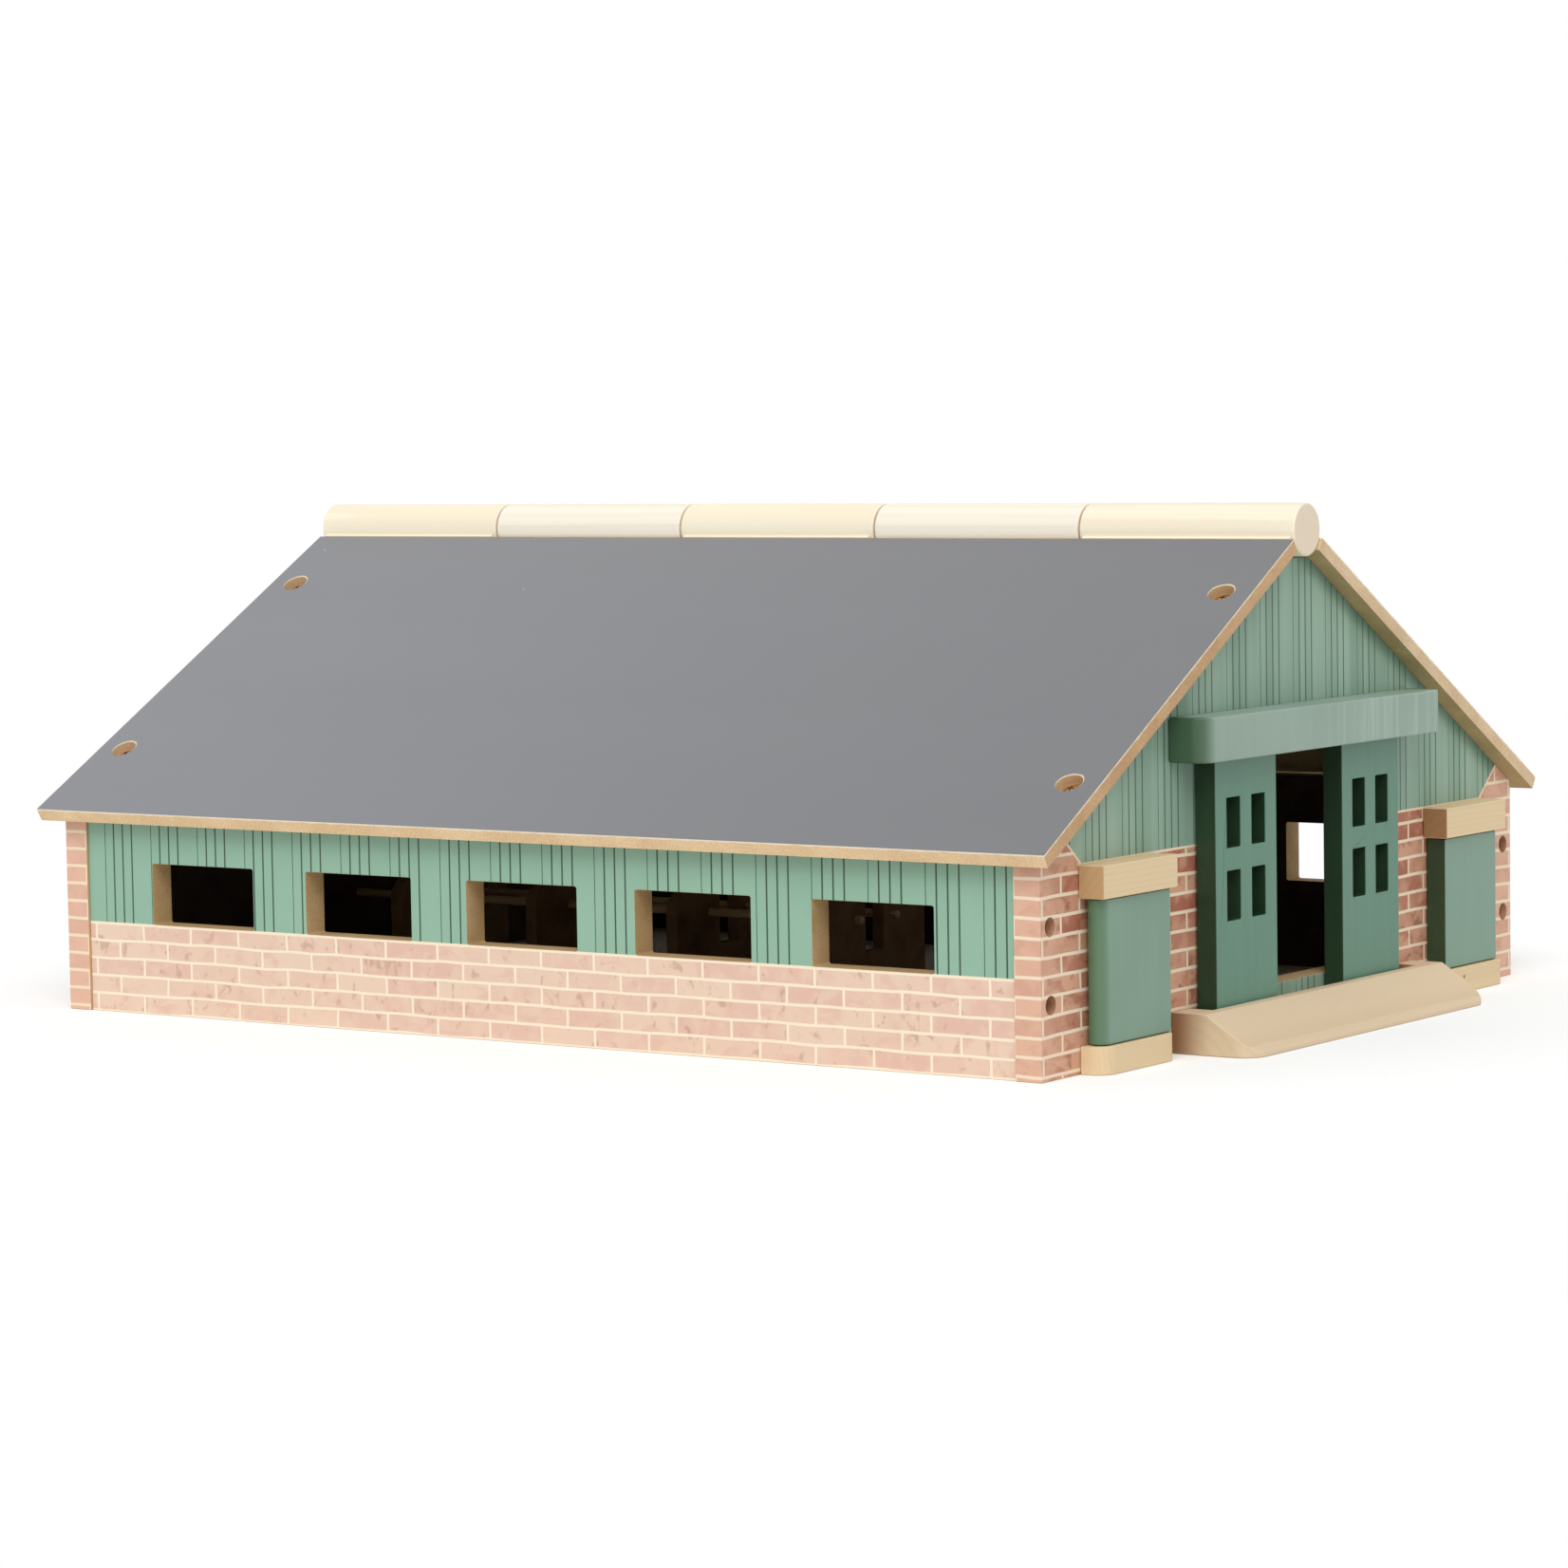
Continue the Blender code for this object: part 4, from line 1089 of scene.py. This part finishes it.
# %% Gables
SEAT_DROP = (ROOF_BOARD / 2 + HAIR) / math.cos(ROOF_PITCH)
GABLE_TOP = GABLE_HIGH.z
SEAT_TOP = RIDGE_AXIS.z - SEAT_DROP
SHOULDER = (SEAT_TOP - GABLE_TOP) / math.tan(ROOF_PITCH)
EAVE = SEAT_TOP - GABLE_HALF * math.tan(ROOF_PITCH)
MAIN_DOORWAY = (-0.0475, 0.019, 0.0475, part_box("door_lintel")[0].z)
SIDE_DOORWAY = (0.121, 0.014, 0.157, 0.064)
GABLE_OUTLINE = [(-GABLE_HALF, 0), (GABLE_HALF, 0), (GABLE_HALF, EAVE), (SHOULDER, GABLE_TOP),
                 (-SHOULDER, GABLE_TOP), (-GABLE_HALF, EAVE)]
GABLE_HOLE = 0.012
END_FACE_FROM = 0.19
print("gable:", round(GABLE_HALF * 2000, 1), "mm wide,", round(GABLE_TOP * 1000, 1), "mm high")


def gable(node, openings, outward, outer_places, inner):
    piece = front_board(node + "_board", [GABLE_OUTLINE] + openings, *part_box(node))
    cut(piece, hole_mesh("wall_holes", WALL_SINK, outer_places, GABLE_HOLE))
    if inner:
        cut(piece, hole_mesh("inner_holes", INNER_SINK, inner, GABLE_HOLE))

    def rule(normal, centre):
        if in_hole(centre, outer_places, WALL_SINK) or in_hole(centre, inner, INNER_SINK):
            return 3
        if normal.y * outward > 0.7 or abs(normal.x) > 0.95 and abs(centre.x) > END_FACE_FROM:
            return 0
        return 1 if normal.y * outward < -0.7 else 2

    # the inner face gets painted shade
    paint(piece, [GABLE_PRINT, INSIDE_PAINTED_SHADE, RAW_JAMB, DRILLED], rule)
    ease(piece, 0.0003)
    dress(piece, "barn", "gable_board", node)


left_doorway = rectangle(-SIDE_DOORWAY[2], SIDE_DOORWAY[1], -SIDE_DOORWAY[0], SIDE_DOORWAY[3])
gable("gable_front", [rectangle(*MAIN_DOORWAY), rectangle(*SIDE_DOORWAY), left_doorway], -1,
      front_places, inner_places)
gable("gable_rear", [], 1, rear_places + base_places, [])

# %% [markdown]
# ## The roof
# Two 6 mm boards lie on the gables. The left one is screwed down and the right one is the lid.
# Each is drawn flat with its long edge towards the ridge, then turned down by the roof pitch
# round the ridge line. Their tops are sprayed grey and the sawn edges stay raw.

# %% Roof boards
PANEL_START = 0.0122
PANEL_REACH = 0.237406
PANEL_HALF = 0.258


def roof_frame(side):
    """Origin on the ridge line, local X down the slope of that side."""
    angle = ROOF_PITCH if side > 0 else math.pi - ROOF_PITCH
    return Matrix.Translation(RIDGE_AXIS) @ Matrix.Rotation(angle, 4, "Y")


def roof_board(name, side, body, node, places):
    outline = rectangle(PANEL_START, -PANEL_HALF, PANEL_REACH, PANEL_HALF)
    piece = board(name, [outline], ROOF_BOARD, roof_frame(side))
    if places:
        cut(piece, hole_mesh("roof_holes", ROOF_SINK, places))

    def rule(normal, centre):
        if in_hole(centre, places, ROOF_SINK):
            return 5 if abs(normal.dot(roof_normal)) < 0.5 else 3
        if normal.z > 0.7:
            return 0
        if normal.z < -0.7:
            return 2
        return 4 if abs(normal.x) > 0.7 else 1

    verge = RAW_LID if side > 0 else RAW_EDGE
    paint(piece, [ROOF_PAINT, verge, UNDERSIDE, ROOF_DRILLED, RAW_EAVE_PAINTED_LIGHT, RAW_SINK], rule)
    ease(piece, 0.0003)
    dress(piece, body, "roof_board", node)


roof_board("fixed_roof_board", -1, "barn", "roof_panel_fixed", roof_places)
roof_board("roof_lid_board", 1, "roof_lid", "roof_panel_hinged", [])

# %% [markdown]
# ## The ridge
# Five lengths of round wood form the ridge and hide the hinge in it. Every second one belongs
# to the lid, and steel pins join them end to end. Each length is turned round, joined with a
# short tongue that meets the end of its roof board, and bored for the pins. Only the two rims
# of a length are rounded, and they are picked by a bevel weight on their edges. The pins are
# used as they are packed.

# %% Ridge knuckles
DOWEL_RADIUS = 0.011
TONGUE_REACH = 0.0119
TONGUE_ROOT = 0.008
RIM_ROUNDING = 0.0010
PIN_RADIUS = 0.002
PIN_LENGTH = 0.030


def round_bar(name, radius, length, place, steps=32):
    """A plain round bar along the Y of the barn, about a middle."""
    profile = [(0, length / 2), (radius, length / 2), (radius, -length / 2), (0, -length / 2)]
    bar = turned_mesh(name, profile, steps)
    bar.transform(facing((0, 1, 0), *place))
    return bar


def round_rims(piece, ends, radius):
    """Give a bevel weight to the outer edges at both ends, and round just those."""
    mesh = piece.data
    weight = mesh.attributes.new("bevel_weight_edge", "FLOAT", "EDGE")
    for edge, entry in zip(mesh.edges, weight.data):
        places = [mesh.vertices[index].co - RIDGE_AXIS for index in edge.vertices]
        on_end = any(all(abs(place.y - end) < NEAR for place in places) for end in ends)
        outside = all(math.hypot(place.x, place.z) > 0.9 * radius for place in places)
        entry.value = 1.0 if on_end and outside else 0.0
    ease(piece, RIM_ROUNDING, 4)
    piece.modifiers["eased_edges"].limit_method = "WEIGHT"
    mesh.set_sharp_from_angle(angle=math.radians(40))


HINGE_PINS = numbered("hinge_pin", 4)
pin_bores = copies("pin_bores", round_bar("pin_bore", PIN_RADIUS + HAIR, PIN_LENGTH, (0, 0, 0)),
                   [Matrix.Translation(middle_of(name)) for name in HINGE_PINS])

for index in range(5):
    node = f"ridge_knuckle_{index + 1}"
    on_lid = index % 2 == 1
    low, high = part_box(node)
    length = high.y - low.y
    middle = Vector((0, (low.y + high.y) / 2, RIDGE_AXIS.z))
    piece = shown(f"ridge_length_{index + 1}",
                  round_bar("ridge_length", DOWEL_RADIUS, length, middle, 72))
    outline = rectangle(TONGUE_ROOT, low.y + 2 * RIM_ROUNDING,
                        TONGUE_REACH, high.y - 2 * RIM_ROUNDING)
    tongue = board_mesh("tongue", [outline], ROOF_BOARD, roof_frame(1 if on_lid else -1))
    cut(piece, tongue, "UNION")
    cut(piece, pin_bores.copy())
    material = LID_RIDGE if on_lid else FIXED_RIDGE
    paint(piece, [material, RIDGE_END], lambda normal, centre: 1 if abs(normal.y) > 0.9 else 0)
    round_rims(piece, (low.y, high.y), DOWEL_RADIUS)
    dress(piece, "roof_lid" if on_lid else "barn",
          "lid_knuckle_wood" if on_lid else "ridge_knuckle_wood", node)

dress_pins(HINGE_PINS)

# %% [markdown]
# ## Lintel and ramp
# The doors hang in a groove under the lintel and stand in one along the ramp. Both pieces are
# as long as the whole track. The lintel is a bar with two round corners. The ramp is a wedge
# seen from the side, and keeps only what lies inside a plan with two round corners, so it is
# cut twice: once to that plan and once for the groove.

# %% Lintel and ramp
TRACK_HALF = 0.087
TRACK_FRONT = -0.261
TRACK_DEPTH = 0.005
OVERRUN = 0.01
PLAN_DEPTH = 0.1
LINTEL_CORNER = 0.008
RAMP_CORNER = 0.010
RAMP_FLAT = 0.016
RAMP_TOE = 0.002


def box_mesh(name, low, high):
    """A box between two corners."""
    width = Vector(high) - Vector(low)
    middle = (Vector(high) + Vector(low)) / 2
    return board_mesh(name, [rectangle(-width.x / 2, -width.y / 2, width.x / 2, width.y / 2)],
                      width.z, Matrix.Translation(middle))


def round_fronted(low, high, corner):
    """A plan that is square at the wall and round at its two front corners."""
    return ([(high.x, high.y), (low.x, high.y)]
            + arc(low.x + corner, low.y + corner, corner, 180, 270)
            + arc(high.x - corner, low.y + corner, corner, 270, 360))


low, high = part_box("door_lintel")
lintel = flat_board("door_lintel_bar", round_fronted(low, high, LINTEL_CORNER), low, high)
cut(lintel, box_mesh("upper_track", (-TRACK_HALF, TRACK_FRONT, low.z - OVERRUN),
                     (TRACK_HALF, FRONT + OVERRUN, low.z + TRACK_DEPTH)))
# the underside and back of the lintel get the darker paint of painted shade
paint(lintel, [LINTEL_FACE, LINTEL_EDGE_SHADE],
      lambda normal, centre: 1 if normal.z < -0.8 or normal.y > 0.8 else 0)
ease(lintel, 0.0008, 3)
dress(lintel, "barn", "green_paint", "door_lintel")

low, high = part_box("ramp")
side_view = [(high.y, 0), (high.y, high.z), (FRONT - RAMP_FLAT, high.z), (low.y, RAMP_TOE),
             (low.y, 0)]
ramp = board("ramp_wedge", [side_view], high.x - low.x, SIDE_VIEW)
plan = board_mesh("ramp_plan", [round_fronted(low, high, RAMP_CORNER)], PLAN_DEPTH, TOP_VIEW)
cut(ramp, plan, "INTERSECT")
cut(ramp, box_mesh("lower_track", (-TRACK_HALF, TRACK_FRONT, high.z - TRACK_DEPTH),
                   (TRACK_HALF, FRONT + OVERRUN, high.z + OVERRUN)))
paint(ramp, [RAMP_WOOD, RAMP_END], end_faces)
ease(ramp, 0.0006, 2, 25)
dress(ramp, "barn", "natural_wood", "ramp")

# %% [markdown]
# ## The sliding doors
# Each door is a thick green board with four lights, narrow openings in two rows. Front and back
# are painted smooth and every sawn edge is darker with painted shade. The boards are drawn in
# front view and placed where their nodes stand at rest.

# %% Sliding doors
LIGHT_WIDTH = 0.011
LIGHT_HEIGHT = 0.020
LIGHT_SPACING = 0.0201
LIGHT_RISE = 0.0293
LIGHT_HEAD = 0.0199
LIGHT_CORNER = 0.0006


def sliding_door(word, body):
    node = "sliding_door_" + word
    low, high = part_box(node)
    centre_x = (low.x + high.x) / 2
    outlines = [rectangle(low.x, low.z, high.x, high.z)]
    for column in (-1, 1):
        for row in (0, 1):
            x = centre_x + column * LIGHT_SPACING / 2
            z = high.z - LIGHT_HEAD - LIGHT_HEIGHT - row * LIGHT_RISE
            outlines.append(rounded(x - LIGHT_WIDTH / 2, z, x + LIGHT_WIDTH / 2,
                                    z + LIGHT_HEIGHT, LIGHT_CORNER))
    door = front_board(word + "_sliding_board", outlines, low, high)
    # the edges get the darker paint of painted shade
    paint(door, [DOOR_FACE, DOOR_EDGE_SHADE], lambda normal, centre: 0 if abs(normal.y) > 0.7 else 1)
    ease(door, 0.0005, 3)
    dress(door, body, "green_paint", node)


sliding_door("left", "left_slider")
sliding_door("right", "right_slider")

# %% [markdown]
# ## The side doors and their blocks
# The small doors turn on two pins each, between a block above and a block below. Their pivot
# edge is fully round, so that it can turn close to the wall, and this is best drawn from above:
# a half circle at the pivot and a straight board up to the free edge.

# %% Side doors
SILL_CORNER = 0.008


def side_door(word, side):
    node = "side_door_" + word
    low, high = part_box(node)
    radius = (high.y - low.y) / 2
    middle_y = (low.y + high.y) / 2
    pivot_x = side * (max(abs(low.x), abs(high.x)) - radius)
    free_x = side * min(abs(low.x), abs(high.x))
    start = -90 if side > 0 else 90
    outline = ([(free_x, middle_y + side * radius), (free_x, middle_y - side * radius)]
               + arc(pivot_x, middle_y, radius, start, start + 180, 24))
    door = flat_board(word + "_side_leaf", outline, low, high)
    # the inner edge, top and bottom get the darker paint of painted shade
    paint(door, [SIDE_FACE, SIDE_DOOR_EDGE_SHADE],
          lambda normal, centre: 1 if normal.x * side < -0.7 or abs(normal.z) > 0.7 else 0)
    ease(door, 0.0005, 3, 50)
    dress(door, word + "_leaf", "green_paint", node)


def side_blocks(word):
    lintel_node = "side_lintel_" + word
    low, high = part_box(lintel_node)
    outline = rectangle(low.x, low.z, high.x, high.z)
    upper = front_board(word + "_upper_block", [outline], low, high)
    sill_node = "side_sill_" + word
    low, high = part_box(sill_node)
    lower = flat_board(word + "_lower_block", round_fronted(low, high, SILL_CORNER), low, high)
    # the right block's end is in painted shade
    end_wood = BLOCK_END if word == "left" else BLOCK_END_PAINTED_SHADE
    paint(upper, [BLOCK_WOOD, end_wood], end_faces)
    paint(lower, [BLOCK_WOOD])
    for block, name in ((upper, lintel_node), (lower, sill_node)):
        ease(block, 0.0005, 3)
        dress(block, "barn", "natural_wood", name)


for word, side in (("left", -1), ("right", 1)):
    side_door(word, side)
    side_blocks(word)
    dress_pins([f"side_door_pin_{word}_{end}" for end in ("lower", "upper")])

# %% [markdown]
# ## The stalls
# Four equal dividers stand in a row on a beam, with two rails through them. Equal pieces at
# equal distance are what Geometry Nodes are for: one divider is drawn from its sizes, its slots
# are cut out, and it is set on the points of a line. The tree ends in Realize Instances and Set
# Material, so that the result can be kept as one plain mesh.

# %% Helpers for Geometry Nodes
def new_tree(name, sizes):
    """An empty Geometry Nodes tree with one named input for each size."""
    tree = bpy.data.node_groups.new(name, "GeometryNodeTree")
    tree.interface.new_socket("Geometry", in_out="INPUT", socket_type="NodeSocketGeometry")
    for label, value in sizes.items():
        kind = "NodeSocketInt" if isinstance(value, int) else "NodeSocketFloat"
        tree.interface.new_socket(label, in_out="INPUT", socket_type=kind)
    tree.interface.new_socket("Geometry", in_out="OUTPUT", socket_type="NodeSocketGeometry")
    return tree, add_node(tree, "NodeGroupInput").outputs


def geo(tree, kind, inputs=None, **settings):
    """What comes out of a new geometry node of this kind."""
    return add_node(tree, "GeometryNode" + kind, inputs, **settings).outputs[0]


def end_tree(tree, geometry, material):
    """Close a tree with real geometry and its material."""
    real = geo(tree, "RealizeInstances", {0: geometry})
    coloured = geo(tree, "SetMaterial", {"Geometry": real, "Material": material})
    add_node(tree, "NodeGroupOutput", {0: coloured})


def grown(name, mesh, tree, sizes):
    """Run a tree on a mesh with these sizes, and keep the result as a plain piece."""
    holder = bpy.data.objects.new(name, mesh)
    grower = holder.modifiers.new("grow", "NODES")
    grower.node_group = tree
    for item in tree.interface.items_tree:
        if item.item_type == "SOCKET" and item.in_out == "INPUT" and item.name in sizes:
            grower[item.identifier] = sizes[item.name]
    piece = shown(name, as_mesh(holder))
    print("grown:", name, len(piece.data.polygons), "faces")
    return piece


def vector(tree, x, y, z):
    return add_node(tree, "ShaderNodeCombineXYZ", {0: x, 1: y, 2: z}).outputs[0]


def times(tree, first, second):
    return maths(tree, "MULTIPLY", first, second)


def plus(tree, first, second):
    return maths(tree, "ADD", first, second)


def block_at(tree, size, centre):
    """A block of a size, moved to a place."""
    cube = geo(tree, "MeshCube", {"Size": size})
    return geo(tree, "Transform", {"Geometry": cube, "Translation": centre})


def joined(tree, parts):
    """Several parts as one geometry."""
    node = add_node(tree, "GeometryNodeJoinGeometry")
    for piece in parts:
        tree.links.new(piece, node.inputs[0])
    return node.outputs[0]


def without(tree, body, tools):
    """Take a list of tools out of a body."""
    knife = add_node(tree, "GeometryNodeMeshBoolean", {0: body}, operation="DIFFERENCE",
                     solver="EXACT")
    for tool in tools:
        tree.links.new(tool, knife.inputs[1])
    return knife.outputs[0]


print("helpers for trees are ready")

# %% [markdown]
# ## The divider row
# The first divider gives the board and its reach, and the last one gives the spacing. A sheet
# with round corners is filled and thickened. One block takes off its lower corners, and two
# narrow ones cut the slots.

# %% The divider row
TOOL = 0.1
low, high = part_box("stall_divider_1")
last_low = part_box("stall_divider_4")[0]
DIVIDER_SIZES = {
    "Reach": high.x,
    "Height": high.z,
    "Board": high.y - low.y,
    "Corner": 0.010,
    "Upper Slot": 0.014,
    "Upper Slot Foot": 0.0203,
    "Lower Slot": 0.0126,
    "Lower Slot Head": 0.0103,
    "Count": 4,
    "First": (low.y + high.y) / 2,
    "Spacing": (last_low.y - low.y) / 3,
}


def divider_tree():
    tree, size = new_tree("divider_row", DIVIDER_SIZES)
    width = times(tree, size["Reach"], 2)
    tall = plus(tree, size["Height"], size["Corner"])
    sheet = geo(tree, "CurvePrimitiveQuadrilateral", {"Width": width, "Height": tall})
    rounded_sheet = geo(tree, "FilletCurve",
                        {"Curve": sheet, "Count": 10, "Radius": size["Corner"]}, mode="POLY")
    flat = geo(tree, "FillCurve", {0: rounded_sheet})
    thick = geo(tree, "ExtrudeMesh", {"Mesh": flat, "Offset Scale": size["Board"],
                                      "Individual": False})
    turned_over = geo(tree, "FlipFaces", {"Mesh": flat})
    solid = geo(tree, "MergeByDistance", {"Geometry": joined(tree, [thick, turned_over]),
                                          "Distance": NEAR})
    rise = times(tree, plus(tree, size["Height"], times(tree, size["Corner"], -1)), 0.5)
    shift = vector(tree, 0.0, times(tree, size["Board"], 0.5), rise)
    upright_board = geo(tree, "Transform", {"Geometry": solid, "Translation": shift,
                                            "Rotation": (math.pi / 2, 0, 0)})
    tools = [block_at(tree, vector(tree, 2 * TOOL, TOOL, TOOL), vector(tree, 0.0, 0.0, -TOOL / 2))]
    for slot, level, offset in (("Upper Slot", "Upper Slot Foot", TOOL / 2),
                                ("Lower Slot", "Lower Slot Head", -TOOL / 2)):
        tools.append(block_at(tree, vector(tree, size[slot], TOOL, TOOL),
                              vector(tree, 0.0, 0.0, plus(tree, size[level], offset))))
    divider = without(tree, upright_board, tools)
    line = geo(tree, "MeshLine", {"Count": size["Count"],
                                  "Start Location": vector(tree, 0.0, size["First"], 0.0),
                                  "Offset": vector(tree, 0.0, size["Spacing"], 0.0)})
    row = geo(tree, "InstanceOnPoints", {"Points": line, "Instance": divider})
    end_tree(tree, row, STALL_WOOD)
    return tree


stall_row = grown("stall_divider_row", bpy.data.meshes.new("empty"), divider_tree(),
                  DIVIDER_SIZES)
ease(stall_row, 0.0004)
dress(stall_row, "barn", "stall_board", *numbered("stall_divider", 4))

# %% [markdown]
# ## Beam and rails
# The beam is a plain batten that the dividers sit astride. The rails are thin rods, turned from
# a profile with eased ends.

# %% Beam and rails
low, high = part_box("stall_base")
beam = shown("stall_base_beam", box_mesh("stall_base_beam", low, high))
paint(beam, [STALL_WOOD])
ease(beam, 0.0005)
dress(beam, "barn", "stall_board", "stall_base")

for word in ("left", "right"):
    node = "neck_rail_" + word
    low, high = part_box(node)
    radius = (high.z - low.z) / 2
    half = (high.y - low.y) / 2
    profile = [(0, half), (radius * 0.8, half), (radius, half - radius * 0.3),
               (radius, -half + radius * 0.3), (radius * 0.8, -half), (0, -half)]
    rod = turned_mesh(word + "_neck_rod", profile, 24)
    rod.transform(facing((0, 1, 0), *((low + high) / 2)))
    rod.shade_smooth()
    rod.set_sharp_from_angle(angle=math.radians(60))
    piece = shown(word + "_neck_rod", rod)
    paint(piece, [RAIL_WOOD])
    dress(piece, "barn", "rail_wood", node)

# %% [markdown]
# ## The screws
# Twenty-one screws of three kinds hold the barn together. They differ only in size, so one tree
# makes them all: a dome with a cross recess on a thin shank, set on points that carry the
# direction each screw looks in as an attribute.

# %% Screw tree
SCREW_SIZES = {
    "Head Radius": 0.0033,
    "Head Height": 0.0020,
    "Shank Radius": SHANK,
    "Shank Length": 0.010,
    "Recess Width": 0.0007,
    "Recess Length": 0.0032,
}


def screw_tree():
    tree, size = new_tree("cross_head_screw", SCREW_SIZES)
    ball = geo(tree, "MeshUVSphere", {"Segments": 32, "Rings": 16, "Radius": 1.0})
    dome_size = vector(tree, size["Head Radius"], size["Head Radius"], size["Head Height"])
    dome = geo(tree, "Transform", {"Geometry": ball, "Scale": dome_size})
    deep = times(tree, size["Head Height"], 1.2)
    tools = [block_at(tree, (TOOL, TOOL, TOOL), (0.0, 0.0, -TOOL / 2))]
    for first, second in (("Recess Length", "Recess Width"), ("Recess Width", "Recess Length")):
        tools.append(block_at(tree, vector(tree, size[first], size[second], deep),
                              vector(tree, 0.0, 0.0, size["Head Height"])))
    head = without(tree, dome, tools)
    rod = geo(tree, "MeshCylinder", {"Vertices": 16, "Radius": size["Shank Radius"],
                                     "Depth": size["Shank Length"]})
    half_down = vector(tree, 0.0, 0.0, times(tree, size["Shank Length"], -0.495))
    shank = geo(tree, "Transform", {"Geometry": rod, "Translation": half_down})
    smooth = geo(tree, "SetShadeSmooth", {"Geometry": joined(tree, [head, shank]),
                                          "Shade Smooth": True})
    sharp = maths(tree, "GREATER_THAN", geo(tree, "InputMeshEdgeAngle"), 0.6)
    crisp = geo(tree, "SetShadeSmooth", {"Geometry": smooth, "Selection": sharp,
                                         "Shade Smooth": False}, domain="EDGE")
    aim = geo(tree, "InputNamedAttribute", {"Name": "facing"}, data_type="FLOAT_VECTOR")
    turn = add_node(tree, "FunctionNodeAlignRotationToVector", {"Vector": aim},
                    axis="Z").outputs[0]
    placed = geo(tree, "InstanceOnPoints", {"Points": size["Geometry"], "Instance": crisp,
                                            "Rotation": turn})
    end_tree(tree, placed, PLATED)
    return tree


SCREW_TREE = screw_tree()

# %% [markdown]
# ## Screws in their holes
# Each set is a few points at the bottoms of its sinks. They carry the direction that the heads
# look in, and the roof screws get a wider and flatter head.

# %% Screws in their holes
def screws(name, nodes, places, sink, **changes):
    """A set of screws at the bottom of their sinks."""
    points = bpy.data.meshes.new(name)
    points.from_pydata([place @ Vector((0, 0, HAIR - sink[1])) for place in places], [], [])
    aim = points.attributes.new("facing", "FLOAT_VECTOR", "POINT")
    for entry, place in zip(aim.data, places):
        entry.vector = place.to_3x3() @ Vector((0, 0, 1))
    sizes = dict(SCREW_SIZES)
    sizes.update({key.replace("_", " "): value for key, value in changes.items()})
    piece = grown(name, points, SCREW_TREE, sizes)
    dress(piece, "barn", "fastener_steel", *nodes)


screws("wall_screw_set", FRONT_SCREWS + REAR_SCREWS + ["stall_base_screw"],
       front_places + rear_places + base_places, WALL_SINK)
screws("roof_screw_set", ROOF_SCREWS, roof_places, ROOF_SINK, Head_Radius=0.0036,
       Head_Height=0.0018)
screws("inner_screw_set", INNER_SCREWS, inner_places, INNER_SINK)

# %% [markdown]
# ## Last check
# The dressed barn must be as large as the imported model. Both boxes are written side by side, so
# that a difference is seen at once.

# %% Compare the boxes and finish
NEW_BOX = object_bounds()
for label, (low, high) in (("cad", CAD_BOX), ("scene", NEW_BOX)):
    print(label, "box in mm:", [round(1000 * value, 2) for value in high - low])
